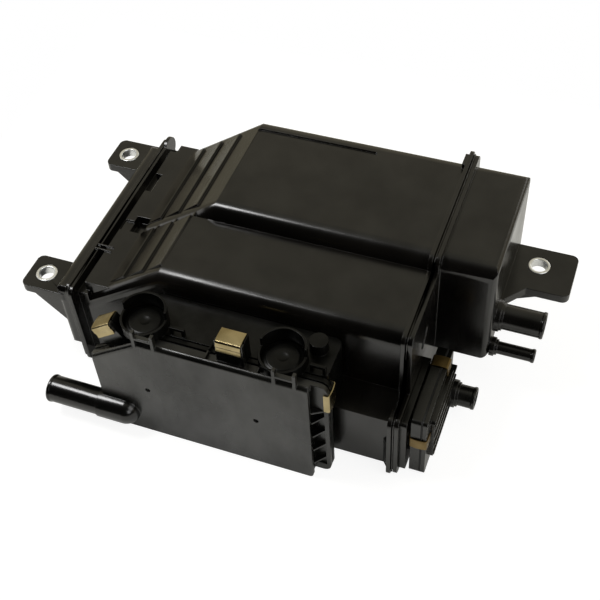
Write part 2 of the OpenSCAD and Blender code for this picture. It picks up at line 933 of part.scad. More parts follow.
// Filter box
plate_x0 = body_x0 + plate_start;
plate_x1 = plate_x0 + plate_len;
seam_x1 = plate_x1 + seam_over;
cup_y = seam_y3 + base_d - wall;
cup_xs = [plate_x0 + cup_a, plate_x0 + cup_a + cup_pitch];
clip_x = plate_x0 + cup_a + cup_pitch / 2 + clip_w;
rung_z = flange_r + rung_t;
post_y = seam_y3 + seam_t;
slope_a = atan(chamfer_h / chamfer_w);
clip_spots = [
    [clip_x, deck_z, 0, clip_tab, clip_leg],
    [plate_x0 + chamfer_w / 2, deck_z - chamfer_h / 2, -slope_a, clip_tab, clip_leg],
    [seam_x1, rung_z + rung_n * rung_pitch + rung_t + gap + clip_w / 2, 90, clip_t / 2, end_clip_leg]
];

// Outline of the cover plate, d inside its edges
module plate_outline(d, top) {
    polygon([
        [plate_x0 + d, d],
        [plate_x1 - d, d],
        [plate_x1 - d, top - d],
        [plate_x0 + chamfer_w + d / 2, top - d],
        [plate_x0 + d, top - chamfer_h - d / 2]
    ]);
}

// Outline of the two filter flanges, d inside their edges
module seam_outline(d) {
    intersection() {
        rounded([plate_x0 - seam_left + d, wall / 2 + d], [seam_x1 - d, deck_z - d], flange_r);
        plate_slope(d);
    }
}

// Everything below the sloped corner, d inside it
module plate_slope(d) {
    polygon([
        [far, -far],
        [far, far],
        [plate_x0 + chamfer_w + d / 2 + far * chamfer_w / chamfer_h, deck_z - d + far],
        [plate_x0 + d / 2 - far * chamfer_w / chamfer_h, deck_z - chamfer_h - d - far]
    ]);
}

// Upright frame of two posts and a bar, drawn in (X, Z) about its foot
module h_frame(w, h, t, bar) {
    pane([-w / 2, 0], [-w / 2 + t, h]);
    pane([w / 2 - t, 0], [w / 2, h]);
    pane([-w / 2, bar], [w / 2, bar + t]);
}

module filter_cover() {
    inner = ladder_d + wall;
    color("#2b2a27")
        difference() {
            union() {
                along_y(plate_y, plate_in_y)
                    intersection() {
                        plate_outline(0, plate_h);
                        rounded([plate_x0 - 1, 0], [plate_x1, plate_h + flange_r], flange_r / 2);
                    }
                difference() {
                    along_y(plate_in_y - eps, seam_y1)
                        plate_outline(ladder_d - 2 * wall, deck_z + ladder_d - 2 * wall);
                    block([plate_x1 - ladder_d + wall, plate_in_y, flange_r],
                        [seam_x1 + 1, seam_y0, deck_z - flange_r]);
                }
                difference() {
                    along_y(seam_y0, seam_y1)
                        seam_outline(0);
                    ladder_pocket();
                }
                ladder_rungs();
                shelf_fins(plate_in_y - eps, seam_y1);
                for (x = cup_xs)
                    translate([x + cup_r / 2, 0, deck_z - eps])
                        along_y(plate_y, plate_in_y)
                            h_frame(bracket_w, bracket_h + lip_h, bracket_t, bracket_h - bracket_t);
                clip_tabs(seam_y0, seam_y1);
                translate([0, plate_y, tube_z])
                    fresh_tube();
            }
            along_y(plate_in_y, seam_y1 + 1)
                plate_outline(inner, deck_z + ladder_d - wall);
            translate([0, plate_y, tube_z])
                bore_x(plate_x0 - tube_free - 1, plate_x0 + tube_sunk, tube_od / 2 - tube_wall);
            for (x = [plate_x0 + dimple_in, plate_x1 - dimple_in])
                translate([x, plate_y, plate_h / 2])
                    rotate([90, 0, 0])
                        cylinder(r = dimple_r, h = plate_t, center = true);
            for (x = cup_xs)
                translate([x, cup_y, deck_z])
                    cylinder(r = cup_r + gap, h = far);
        }
}

// Recess in the filter flange behind the rungs, which leaves a rail along its end
module ladder_pocket() {
    block([plate_x1 - wall, seam_y0 - 1, rung_z + rung_t / 2],
        [seam_x1 - wall - eps, seam_y0 + seam_t / 2, rung_z + rung_n * rung_pitch + rung_t / 2]);
}

// Ribs across the shelf behind the plate, between two stations
module shelf_fins(y0, y1) {
    for (x = shelf_ribs)
        block([plate_x0 + x - fin_w / 2, y0, deck_z - wall / 2],
            [plate_x0 + x + fin_w / 2, y1, deck_z + shelf_h]);
}

// Slanted rungs between the plate edge and the filter flange
module ladder_rungs() {
    x0 = plate_x1 - ladder_d;
    x1 = seam_x1 - wall;
    y1 = seam_y0 + seam_t / 2 + eps;
    intersection() {
        along_z(flange_r, deck_z)
            polygon([
                [x0, plate_in_y - eps],
                [plate_x1, plate_in_y - eps],
                [x1, seam_y0 - eps],
                [x1, y1],
                [x0, y1]
            ]);
        along_y(plate_in_y - 1, seam_y1)
            for (i = [0:rung_n])
                translate([0, rung_z + i * rung_pitch])
                    rung(x0, x1, (i < rung_n) ? rung_rise : 0);
    }
}

// One rung in (X, Z), the top one level
module rung(x0, x1, rise) {
    polygon([
        [x0, 0],
        [x1, rise],
        [x1, rise + rung_t],
        [x0, rung_t]
    ]);
}

// Fresh air tube with a round closed end
module fresh_tube() {
    x0 = plate_x0 - tube_free;
    x1 = plate_x0 + tube_sunk;
    translate([x0, 0, 0])
        rotate([0, 90, 0]) {
            cylinder(r = tube_od / 2, h = x1 - x0);
            mirror([0, 0, 1])
                tip_bead(tube_od / 2);
        }
    translate([plate_x0 - collar_w, 0, 0])
        rotate([0, 90, 0])
            cylinder(r = tube_od / 2 + bead_h, h = x1 - plate_x0 + collar_w);
    translate([x1, 0, 0])
        sphere(r = tube_od / 2 + bead_h);
}

// Raised flange tabs that the clips grip
module clip_tabs(y0, y1) {
    for (spot = clip_spots)
        translate([spot[0], 0, spot[1]])
            rotate([0, spot[2], 0])
                along_y(y0, y1)
                    pane([-clip_w / 2 - 1, -wall], [clip_w / 2 + 1, spot[3]]);
}

module filter_gasket() {
    color("#1a1a1a")
        along_y(seam_y1, seam_y2)
            difference() {
                seam_outline(wall / 2);
                plate_outline(ladder_d + wall, deck_z + ladder_d - wall);
            }
}

module filter_base() {
    color("#23221f")
        difference() {
            union() {
                along_y(seam_y2, seam_y3)
                    seam_outline(0);
                along_y(seam_y3 - eps, block_y)
                    seam_outline(clip_leg + gap);
                along_z(block_z + gap, deck_z)
                    rounded([plate_x0 + chamfer_w - ladder_d, block_y - wall - seam_t],
                        [seam_x1 - wall, front_y - gap], flange_r);
                clip_tabs(seam_y2, post_y);
                difference() {
                    shelf_fins(seam_y2 + eps, post_y);
                    for (x = cup_xs)
                        translate([x, cup_y, 0])
                            cylinder(r = cup_r - cup_wall / 2, h = far);
                }
                for (x = cup_xs)
                    translate([x, cup_y, 0])
                        cup();
                for (x = cup_xs)
                    translate([x + cup_r + bracket_w / 2, cup_y - bracket_t, deck_z - eps])
                        along_y(0, bracket_t)
                            h_frame(bracket_w * 2 / 3, bracket_h * 2 / 3, bracket_t,
                                bracket_h * 2 / 3 - bracket_t);
                translate([seam_x1 - wall - 2 * lug_r, front_y - 2 * lug_r, deck_z - eps])
                    cylinder(r = lug_r, h = lug_h);
            }
            along_y(seam_y2 - 1, block_y - wall)
                plate_outline(ladder_d + wall, deck_z + ladder_d - wall);
            block([plate_x0 + chamfer_w, block_y - 2 * wall, block_z + wall + gap],
                [seam_x1 - 3 * wall, front_y - wall - gap, deck_z - wall]);
            leg_pockets();
        }
}

// Room behind the posts for the rear legs of the clips
module leg_pockets() {
    for (spot = clip_spots)
        translate([spot[0], 0, spot[1]])
            rotate([0, spot[2], 0])
                translate([0, 0, spot[3]])
                    along_x(-clip_w / 2 - gap, clip_w / 2 + gap)
                        pane([post_y, -spot[4] - gap], [post_y + clip_t + gap, clip_t + gap]);
}

// A round cup with a half round wall behind it
module cup() {
    top = deck_z + cup_h;
    difference() {
        union() {
            translate([0, 0, deck_z + gap])
                cylinder(r = cup_r, h = cup_h - gap);
            intersection() {
                translate([0, 0, deck_z - chamfer_h / 2])
                    cylinder(r = cup_r, h = chamfer_h / 2 + cup_h);
                block([-cup_r, seam_y2 + seam_t / 2 - cup_y, 0], [cup_r, front_y - 2 * gap - cup_y, far]);
            }
            translate([0, 0, top - eps])
                intersection() {
                    cylinder(r = cup_r, h = cup_back);
                    block([-cup_r, cup_wall, 0], [cup_r, cup_r, cup_back]);
                }
        }
        translate([0, 0, deck_z + cup_wall])
            cylinder(r = cup_r - cup_wall, h = far);
    }
}

module cup_discs() {
    r = cup_r - cup_wall - gap;
    rim_t = disc_t * 2 / 3;
    color("#2b2a27")
        for (x = cup_xs)
            translate([x, cup_y, deck_z + cup_wall]) {
                cylinder(r = r, h = rim_t);
                translate([0, 0, rim_t - eps])
                    cylinder(r1 = r - cup_wall, r2 = r - 2 * cup_wall, h = disc_t - rim_t + eps);
            }
}

module filter_element() {
    x0 = plate_x0 + ladder_d + 2 * wall;
    x1 = plate_x1 - ladder_d - 2 * wall;
    pitch = (x1 - x0) / pleat_n;
    y0 = plate_in_y + 2 * wall;
    y1 = block_y - wall;
    front = [for (i = [0:pleat_n]) [x0 + i * pitch, (i % 2 == 0) ? y0 : y1 - paper_t]];
    back = [for (i = [pleat_n:-1:0]) [x0 + i * pitch, (i % 2 == 0) ? y0 + paper_t : y1]];
    color("#c9bfa6")
        along_z(tube_z + tube_od / 2 + wall, deck_z - chamfer_h - wall)
            polygon(concat(front, back));
}

// A bent strip lying on z = 0 with a leg on each side of the flange stack
module clip_strip(leg) {
    along_x(-clip_w / 2, clip_w / 2)
        difference() {
            pane([seam_y0 - clip_t, -leg], [post_y + clip_t, clip_t]);
            pane([seam_y0, -far], [post_y, 0]);
        }
}

module filter_clips() {
    color("#b08d4a")
        for (spot = clip_spots)
            translate([spot[0], 0, spot[1]])
                rotate([0, spot[2], 0])
                    translate([0, 0, spot[3]])
                        clip_strip(spot[4]);
}

// Vent valve
foot_x1 = cover_x0 + foot_t;
valve_x0 = foot_x1 + valve_neck;
valve_x1 = valve_x0 + valve_d;
valve_x2 = valve_x1 + seal_t;
valve_x3 = valve_x2 + valve_rim;
valve_x4 = valve_x3 + valve_pad;
valve_y0 = block_y + flange_lip - wall;
valve_y1 = valve_y0 + valve_l;
valve_z1 = valve_z + valve_h;
neck_r = valve_h / 5;
neck_at = [0, (valve_y0 + valve_y1) / 2, valve_z + valve_h / 2];
nozzle_y = valve_y1 - nozzle_od / 2;
nozzle_z = valve_z + valve_edge + nozzle_od / 2 + collar_h;

// Outline of the valve, d inside its edges
module valve_outline(d) {
    rounded([valve_y0 + d, valve_z + d], [valve_y1 - d, valve_z1 - d], wall);
}

module valve_housing() {
    color("#1f1e1c")
        difference() {
            union() {
                along_x(valve_x0, valve_x1)
                    valve_outline(0);
                along_x(foot_x1 - eps, valve_x0 + eps)
                    valve_outline(valve_edge);
                along_x(cover_x0, foot_x1)
                    rounded([valve_y0 - wall, valve_z + wall],
                        [valve_y1 - valve_edge, valve_z1 - wall], wall);
            }
            along_x(valve_x0 + wall, valve_x1 + 1)
                valve_outline(wall);
            translate(neck_at)
                bore_x(cover_x0 - 1, valve_x1, neck_r - wall);
        }
}

module valve_diaphragm() {
    color("#1a1a1a")
        along_x(valve_x1, valve_x2)
            valve_outline(0);
}

module valve_cover() {
    pitch = (valve_h - 2 * valve_edge) / rib_n;
    color("#1f1e1c")
        difference() {
            union() {
                along_x(valve_x2, valve_x3)
                    valve_outline(0);
                along_x(valve_x3 - eps, valve_x4)
                    valve_outline(valve_edge);
                for (i = [0:rib_n - 1])
                    along_x(valve_x3 - eps, valve_x4 + rib_h)
                        pane([valve_y0 + valve_edge, valve_z + valve_edge + (i + 0.5) * pitch - rib_w / 2],
                            [valve_y1 - wall, valve_z + valve_edge + (i + 0.5) * pitch + rib_w / 2]);
                translate([0, nozzle_y, nozzle_z])
                    bore_x(valve_x3 - eps, valve_x4, nozzle_od / 2 + collar_h);
                translate([0, nozzle_y, nozzle_z])
                    spigot(valve_x4 - eps, nozzle_len, nozzle_od / 2);
            }
            along_x(valve_x2 - 1, valve_x4 - wall)
                valve_outline(valve_edge + wall);
            translate([0, nozzle_y, nozzle_z])
                bore_x(valve_x3, far, nozzle_od / 2 - nozzle_wall);
        }
}

module valve_plate() {
    color("#55534c")
        translate(neck_at)
            bore_x(valve_x1 - clip_t, valve_x1, neck_r);
}

module valve_spring() {
    color("#b9bcc0")
        translate(neck_at)
            translate([valve_x0 + wall, 0, 0])
                coil(neck_r - wall / 2 + wire_d / 4, valve_d - wall - clip_t, turns / 4, wire_d / 4);
}

module valve_clips() {
    color("#b08d4a") {
        translate([0, valve_y1 - 1.5 * valve_clip_w, valve_z1])
            valve_clip();
        translate([0, valve_y0, valve_z1 - 2.5 * valve_clip_w])
            rotate([90, 0, 0])
                valve_clip();
    }
}

// A strip over the joint of the valve housing, lying on z = 0
module valve_clip() {
    along_y(-valve_clip_w / 2, valve_clip_w / 2)
        difference() {
            pane([valve_x0 - clip_t, -clip_leg], [valve_x3 + clip_t, clip_t]);
            pane([valve_x0, -far], [valve_x3, 0]);
        }
}

translate(home) canister_body();
translate(home) left_end_cap();
translate(home) right_end_cover();
translate(home) mount_bushes();
translate(home) rear_charcoal_bed();
translate(home) front_charcoal_bed();
translate(home) rear_left_pad();
translate(home) rear_right_pad();
translate(home) front_left_pad();
translate(home) front_right_pad();
translate(home) rear_left_grid();
translate(home) rear_right_grid();
translate(home) front_left_grid();
translate(home) front_right_grid();
translate(home) rear_springs();
translate(home) front_springs();
translate(home) filter_base();
translate(home) filter_cover();
translate(home) filter_gasket();
translate(home) filter_element();
translate(home) filter_clips();
translate(home) cup_discs();
translate(home) valve_housing();
translate(home) valve_cover();
translate(home) valve_diaphragm();
translate(home) valve_plate();
translate(home) valve_spring();
translate(home) valve_clips();
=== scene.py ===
"""Looks of the charcoal canister: mouldings, spring clips, weld flash, finishes, light and camera."""

import logging
import math
from collections.abc import Callable, Sequence
from dataclasses import dataclass
from enum import Enum

import bmesh
import bpy
from mathutils import Matrix, Vector
from mathutils.bvhtree import BVHTree


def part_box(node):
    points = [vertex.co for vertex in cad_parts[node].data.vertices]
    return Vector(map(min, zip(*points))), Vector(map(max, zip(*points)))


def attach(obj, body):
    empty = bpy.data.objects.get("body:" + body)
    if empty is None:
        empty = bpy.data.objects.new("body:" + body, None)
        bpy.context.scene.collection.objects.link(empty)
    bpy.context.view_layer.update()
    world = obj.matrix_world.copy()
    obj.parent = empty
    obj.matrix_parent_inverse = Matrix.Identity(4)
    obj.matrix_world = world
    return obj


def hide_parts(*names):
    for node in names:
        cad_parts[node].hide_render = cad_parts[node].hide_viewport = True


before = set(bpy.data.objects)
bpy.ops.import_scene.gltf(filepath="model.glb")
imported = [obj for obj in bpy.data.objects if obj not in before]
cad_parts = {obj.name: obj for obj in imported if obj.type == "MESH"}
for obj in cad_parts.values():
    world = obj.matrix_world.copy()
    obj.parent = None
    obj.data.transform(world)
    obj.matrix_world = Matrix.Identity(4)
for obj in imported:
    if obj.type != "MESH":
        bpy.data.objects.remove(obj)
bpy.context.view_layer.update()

LOG = logging.getLogger("canister")
MM = 0.001
ROOT = "root"
WELD_MM = 0.05
CUT_M = 1e-6
ONE_FACE_DEG = 0.5
SHARP_DEG = 33.0
STRIP_SHARP_DEG = 50.0
BEVEL_STEPS = 2
QUARTER = math.radians(90)
UP = Vector((0.0, 0.0, 1.0))
# Layout places run from the left bush line, the rear left bush and the rest plane. HOME is their origin.
HOME = Vector((-153.0, 84.1, 0.0))


def linear(code: str) -> tuple[float, float, float, float]:
    """Turns an sRGB hex colour into linear light.

    Args:
        code: colour as "#rrggbb".

    Returns:
        Linear red, green, blue and an alpha of 1.
    """
    parts = [int(code[i : i + 2], 16) / 255 for i in (1, 3, 5)]
    light = [c / 12.92 if c <= 0.04045 else ((c + 0.055) / 1.055) ** 2.4 for c in parts]
    return (light[0], light[1], light[2], 1.0)


def per_metre(size_mm: float) -> float:
    """Texture scale at which one feature spans size_mm."""
    return 1.0 / (size_mm * MM)


def spot(x: float, y: float, z: float) -> Vector:
    """Place in the frame, in metres, of a point of the layout in millimetres."""
    return (Vector((x, y, z)) + HOME) * MM


def add(
    tree: bpy.types.NodeTree,
    kind: str,
    feeds: dict,
    stops: Sequence[tuple[float, str]] = (),
    **settings: object,
) -> bpy.types.Node:
    """Adds one node with its settings, constants and links.

    Args:
        tree: the tree that takes the node.
        kind: the node's type name.
        feeds: input name or number to a constant or to the output socket that feeds it.
        stops: places and hex colours of a colour ramp, from its low end to its high end.
        settings: properties of the node.

    Returns:
        The new node.
    """
    node = tree.nodes.new(kind)
    for key, value in settings.items():
        setattr(node, key, value)
    for place, _ in stops[1:-1]:
        node.color_ramp.elements.new(place)
    for i, (place, code) in enumerate(stops):
        node.color_ramp.elements[i].position = place
        node.color_ramp.elements[i].color = linear(code)
    for key, value in feeds.items():
        if isinstance(value, bpy.types.NodeSocket):
            tree.links.new(value, node.inputs[key])
        else:
            node.inputs[key].default_value = value
    return node


def blank_material(name: str) -> tuple[bpy.types.Material, bpy.types.NodeTree, bpy.types.NodeSocket]:
    """Makes an empty node material.

    Args:
        name: the real material's name.

    Returns:
        The material, its tree and the Object coordinates to read patterns from.
    """
    material = bpy.data.materials.new(name)
    material.use_nodes = True
    tree = material.node_tree
    tree.nodes.clear()
    place = add(tree, "ShaderNodeTexCoord", {})
    return material, tree, place.outputs["Object"]


def close_material(tree: bpy.types.NodeTree, shader: bpy.types.Node) -> None:
    """Links a shader to the material's output."""
    add(tree, "ShaderNodeOutputMaterial", {"Surface": shader.outputs[0]})


@dataclass(frozen=True)
class MouldedNylon:
    """Glass-filled nylon out of a spark-eroded tool: satin, with cloudy flow, a fine grain and smears."""

    name: str
    colour: str
    cloud: str
    roughness: float
    spread: float = 0.10
    cloud_mm: float = 38.0
    cloud_stops: tuple[float, float] = (0.35, 0.7)
    sheen_range: tuple[float, float] = (0.3, 0.7)
    grain_mm: float = 0.9
    grain_depth_mm: float = 0.05
    grain_strength: float = 0.12
    gloss: float = 0.5
    smear: float = 0.06
    smear_mm: float = 26.0
    smear_stretch: tuple[float, float, float] = (1.0, 1.0, 0.5)
    smear_range: tuple[float, float] = (0.35, 0.65)
    index: float = 1.53
    polished_y: float | None = None
    polish: float = 0.21

    def material(self) -> bpy.types.Material:
        """Builds the finish.

        Returns:
            The material.
        """
        material, tree, at = blank_material(self.name)
        cloud = add(
            tree,
            "ShaderNodeTexNoise",
            {"Vector": at, "Scale": per_metre(self.cloud_mm), "Detail": 3.0},
        )
        stops = list(zip(self.cloud_stops, (self.colour, self.cloud)))
        tone = add(tree, "ShaderNodeValToRGB", {"Fac": cloud.outputs[0]}, stops)
        # The tool's spark grain is about 0.05 mm; it is drawn coarser so that the render shows it.
        grain = add(
            tree,
            "ShaderNodeTexNoise",
            {"Vector": at, "Scale": per_metre(self.grain_mm), "Detail": 2.0},
        )
        bump = add(
            tree,
            "ShaderNodeBump",
            {
                "Height": grain.outputs[0],
                "Strength": self.grain_strength,
                "Distance": self.grain_depth_mm * MM,
            },
        )
        sheen = add(
            tree,
            "ShaderNodeMapRange",
            {
                "Value": cloud.outputs[0],
                "From Min": self.sheen_range[0],
                "From Max": self.sheen_range[1],
                "To Min": self.roughness - self.spread / 2,
                "To Max": self.roughness + self.spread / 2,
            },
        )
        # Hands and dust leave upright smears that dull the shine in patches.
        upright = add(tree, "ShaderNodeMapping", {"Vector": at, "Scale": self.smear_stretch})
        patch = add(
            tree,
            "ShaderNodeTexNoise",
            {
                "Vector": upright.outputs[0],
                "Scale": per_metre(self.smear_mm),
                "Detail": 5.0,
                "Roughness": 0.6,
            },
        )
        gleam = add(
            tree,
            "ShaderNodeMapRange",
            {
                "Value": patch.outputs[0],
                "From Min": self.smear_range[0],
                "From Max": self.smear_range[1],
                "To Min": self.gloss - self.smear,
                "To Max": self.gloss + self.smear,
            },
        )
        colour, rough, shine = tone.outputs[0], sheen.outputs[0], gleam.outputs[0]
        if self.polished_y is not None:
            # What stands in front of this plane comes from a polished part of the tool: blacker, glossier.
            parts = add(tree, "ShaderNodeSeparateXYZ", {0: at})
            ahead = add(
                tree,
                "ShaderNodeMath",
                {0: parts.outputs["Y"], 1: self.polished_y * MM},
                operation="LESS_THAN",
            ).outputs[0]
            rough = add(tree, "ShaderNodeMix", {0: ahead, 2: rough, 3: self.polish}).outputs[0]
            shine = add(tree, "ShaderNodeMix", {0: ahead, 2: shine, 3: self.gloss}).outputs[0]
            dark = linear(self.colour)
            colour = add(tree, "ShaderNodeMix", {0: ahead, 6: colour, 7: dark}, data_type="RGBA").outputs[2]
        shader = add(
            tree,
            "ShaderNodeBsdfPrincipled",
            {
                "Base Color": colour,
                "Roughness": rough,
                "IOR": self.index,
                "Specular IOR Level": shine,
                "Normal": bump.outputs[0],
            },
        )
        close_material(tree, shader)
        return material


@dataclass(frozen=True)
class PlatedSteel:
    """Zinc-plated steel: bright metal with drawn lines along one axis and a slight drift of tint."""

    name: str
    colour: str
    tint: str
    roughness: float
    line_mm: float = 0.7
    stretch: tuple[float, float, float] = (1.0, 1.0, 0.06)
    line_depth_mm: float = 0.03
    line_strength: float = 0.25
    drift_mm: float = 9.0
    drift_stops: tuple[float, float] = (0.3, 0.75)
    smoother: float = 0.06
    rougher: float = 0.10

    def material(self) -> bpy.types.Material:
        """Builds the finish.

        Returns:
            The material.
        """
        material, tree, at = blank_material(self.name)
        drawn = add(tree, "ShaderNodeMapping", {"Vector": at, "Scale": self.stretch})
        # Rolling lines are a few hundredths of a millimetre apart; they are drawn coarser so that they show.
        lines = add(
            tree,
            "ShaderNodeTexNoise",
            {"Vector": drawn.outputs[0], "Scale": per_metre(self.line_mm), "Detail": 2.0},
        )
        drift = add(
            tree,
            "ShaderNodeTexNoise",
            {"Vector": at, "Scale": per_metre(self.drift_mm), "Detail": 1.0},
        )
        stops = list(zip(self.drift_stops, (self.colour, self.tint)))
        tone = add(tree, "ShaderNodeValToRGB", {"Fac": drift.outputs[0]}, stops)
        bump = add(
            tree,
            "ShaderNodeBump",
            {
                "Height": lines.outputs[0],
                "Strength": self.line_strength,
                "Distance": self.line_depth_mm * MM,
            },
        )
        sheen = add(
            tree,
            "ShaderNodeMapRange",
            {
                "Value": lines.outputs[0],
                "To Min": self.roughness - self.smoother,
                "To Max": self.roughness + self.rougher,
            },
        )
        shader = add(
            tree,
            "ShaderNodeBsdfPrincipled",
            {
                "Base Color": tone.outputs[0],
                "Metallic": 1.0,
                "Roughness": sheen.outputs[0],
                "Normal": bump.outputs[0],
            },
        )
        close_material(tree, shader)
        return material


@dataclass(frozen=True)
class Cellular:
    """Matter made of cells or grains, such as charcoal pellets or open-cell foam: dull, pitted, uneven."""

    name: str
    colour: str
    pit: str
    cell_mm: float
    depth_mm: float
    roughness: float = 0.9
    pit_stops: tuple[float, float] = (0.0, 0.8)
    pit_strength: float = 0.8

    def material(self) -> bpy.types.Material:
        """Builds the finish.

        Returns:
            The material.
        """
        material, tree, at = blank_material(self.name)
        cells = add(tree, "ShaderNodeTexVoronoi", {"Vector": at, "Scale": per_metre(self.cell_mm)})
        stops = list(zip(self.pit_stops, (self.colour, self.pit)))
        tone = add(tree, "ShaderNodeValToRGB", {"Fac": cells.outputs["Distance"]}, stops)
        bump = add(
            tree,
            "ShaderNodeBump",
            {
                "Height": cells.outputs["Distance"],
                "Strength": self.pit_strength,
                "Distance": self.depth_mm * MM,
            },
            invert=True,
        )
        shader = add(
            tree,
            "ShaderNodeBsdfPrincipled",
            {"Base Color": tone.outputs[0], "Roughness": self.roughness, "Normal": bump.outputs[0]},
        )
        close_material(tree, shader)
        return material


@dataclass(frozen=True)
class FibrePaper:
    """Resin-bonded filter paper: cream, dull, with short fibres lying across it."""

    name: str
    colour: str
    fibre: str
    fibre_mm: float = 1.2
    fibre_depth_mm: float = 0.1
    fibre_strength: float = 0.4
    fibre_stops: tuple[float, float] = (0.3, 0.7)
    lay: tuple[float, float, float] = (1.0, 1.0, 0.25)
    roughness: float = 0.95

    def material(self) -> bpy.types.Material:
        """Builds the finish.

        Returns:
            The material.
        """
        material, tree, at = blank_material(self.name)
        laid = add(tree, "ShaderNodeMapping", {"Vector": at, "Scale": self.lay})
        # Paper fibres are about 0.03 mm thick; they are drawn coarser so that they show.
        fibres = add(
            tree,
            "ShaderNodeTexNoise",
            {"Vector": laid.outputs[0], "Scale": per_metre(self.fibre_mm), "Detail": 6.0},
        )
        stops = list(zip(self.fibre_stops, (self.fibre, self.colour)))
        tone = add(tree, "ShaderNodeValToRGB", {"Fac": fibres.outputs[0]}, stops)
        bump = add(
            tree,
            "ShaderNodeBump",
            {
                "Height": fibres.outputs[0],
                "Strength": self.fibre_strength,
                "Distance": self.fibre_depth_mm * MM,
            },
        )
        shader = add(
            tree,
            "ShaderNodeBsdfPrincipled",
            {"Base Color": tone.outputs[0], "Roughness": self.roughness, "Normal": bump.outputs[0]},
        )
        close_material(tree, shader)
        return material


class Finish(Enum):
    """The finishes, each under the name of its slot in the record."""

    # Deep black with soft, broad highlights.
    BLACK_NYLON = MouldedNylon("nylon_satin_moulded", "#060504", "#0d0b08", 0.22)
    # Greyer black with hazy patches. The fresh air tube stands in front of the plane and is polished.
    FILTER_NYLON = MouldedNylon(
        "nylon_filter_moulded",
        "#080807",
        "#1a1a17",
        0.27,
        0.16,
        gloss=0.52,
        smear=0.15,
        polished_y=-91.2,
    )
    # Painted shade: a darker copy of the filter nylon with hardly any shine, for the base and the cup caps,
    # standing in for the shade and dark reflections that the deck gets under the chamber wall.
    FILTER_NYLON_DULL = MouldedNylon("nylon_filter_painted_shade", "#040403", "#0a0a08", 0.30, 0.10, gloss=0.16)
    # Black, with slightly softer highlights than the shell.
    VALVE_NYLON = MouldedNylon("nylon_valve_moulded", "#060604", "#0c0b08", 0.24)
    # Silver white, which shows as pale rings in the ears.
    BUSH_STEEL = PlatedSteel("steel_bright_zinc", "#e4e6e7", "#f7f8f8", 0.28)
    # Straw yellow and bright, with faint lines.
    CLIP_STEEL = PlatedSteel("steel_yellow_zinc", "#94855f", "#bcac84", 0.20, line_depth_mm=0.012)
    # The same plating, browner and duller, on the valve clips.
    CLIP_STEEL_DULL = PlatedSteel("steel_yellow_zinc_browner", "#5f4c28", "#83704a", 0.36)
    # Grey wire with drawing lines.
    SPRING_STEEL = PlatedSteel("steel_drawn_wire", "#9a9da1", "#c3c6c9", 0.30)
    # Black grains with darker gaps.
    CHARCOAL = Cellular("charcoal_pellets", "#1b1b1b", "#050505", 2.2, 0.6)
    # Grey sponge with open pores.
    FOAM = Cellular("polyurethane_foam", "#4c4b46", "#232320", 1.4, 0.5)
    # Matt mid grey.
    GRID_NYLON = MouldedNylon("nylon_grid_moulded", "#55534c", "#615e55", 0.5)
    # Soft black, almost without shine.
    SEAL_RUBBER = Cellular("rubber_moulded", "#171717", "#0d0d0d", 0.6, 0.05, 0.75)
    # Cream with darker fibres.
    FILTER_PAPER = FibrePaper("paper_resin_bonded", "#cfc4a8", "#a99b78")

    @property
    def slot(self) -> str:
        """Name of the record's slot."""
        return self.name.lower().removesuffix("_dull")


class EdgeBreak(Enum):
    """How far the edge of a strip, a moulding or a turned ring is rounded, in millimetres."""

    STRIP = 0.15
    CRISP = 0.2
    MOULDED = 0.3
    ROUND = 0.6


class FaceWeight(Enum):
    """How much more a large face counts than a small one where their shading meets. 50 is even."""

    EVEN = 50
    STRIP = 60
    MOULDING = 90


class Wardrobe:
    """Makes each finish once and hands it out."""

    def __init__(self) -> None:
        """Starts empty."""
        self._made: dict[Finish, bpy.types.Material] = {}

    def take(self, finish: Finish) -> bpy.types.Material:
        """Hands out the material of a finish, made at its first use.

        Args:
            finish: the finish.

        Returns:
            Its material.
        """
        if finish not in self._made:
            self._made[finish] = finish.value.material()
        return self._made[finish]


WARDROBE = Wardrobe()


def place_piece(name: str, mesh: bpy.types.Mesh, finish: Finish, *nodes: str) -> bpy.types.Object:
    """Puts a finished mesh into the scene as a piece of the object.

    Args:
        name: the piece's name.
        mesh: the mesh, already in its place.
        finish: what it is made of.
        nodes: the solids that it stands for.

    Returns:
        The piece.
    """
    mesh.name = name
    mesh.materials.clear()
    mesh.materials.append(WARDROBE.take(finish))
    piece = bpy.data.objects.new(name, mesh)
    bpy.context.scene.collection.objects.link(piece)
    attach(piece, ROOT)
    if nodes:
        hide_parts(*nodes)
    LOG.info("%s: %d faces", name, len(mesh.polygons))
    return piece


def dress_node(node: str, finish: Finish) -> None:
    """Gives a solid that stays as it is its finish.

    Args:
        node: the solid.
        finish: what it is made of.
    """
    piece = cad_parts[node]
    piece.data.materials.clear()
    piece.data.materials.append(WARDROBE.take(finish))
    LOG.info("%s: dressed", node)


def mesh_of(shape: bmesh.types.BMesh) -> bpy.types.Mesh:
    """Turns a bmesh into a smooth mesh with no leftover normals and frees it.

    Args:
        shape: the bmesh.

    Returns:
        The new mesh.
    """
    shape.verts.index_update()
    points = [v.co.copy() for v in shape.verts]
    faces = [[v.index for v in f.verts] for f in shape.faces]
    shape.free()
    mesh = bpy.data.meshes.new("piece")
    mesh.from_pydata(points, [], faces)
    mesh.shade_smooth()
    return mesh


def break_edges(piece: bpy.types.Object, edge: EdgeBreak, sharp_deg: float, clamp: bool) -> None:
    """Rounds the sharp edges of a piece.

    Args:
        piece: the piece.
        edge: how far its edges are rounded.
        sharp_deg: the angle from which an edge counts as sharp.
        clamp: whether a round gets smaller where it meets another.
    """
    bevel = piece.modifiers.new("edge_break", "BEVEL")
    bevel.width = edge.value * MM
    bevel.segments = BEVEL_STEPS
    bevel.limit_method = "ANGLE"
    bevel.angle_limit = math.radians(sharp_deg)
    bevel.use_clamp_overlap = clamp


def keep_flat(piece: bpy.types.Object, weight: FaceWeight) -> None:
    """Lets large faces shade flat beside their rounded edges."""
    flat = piece.modifiers.new("flat_faces", "WEIGHTED_NORMAL")
    flat.weight = weight.value


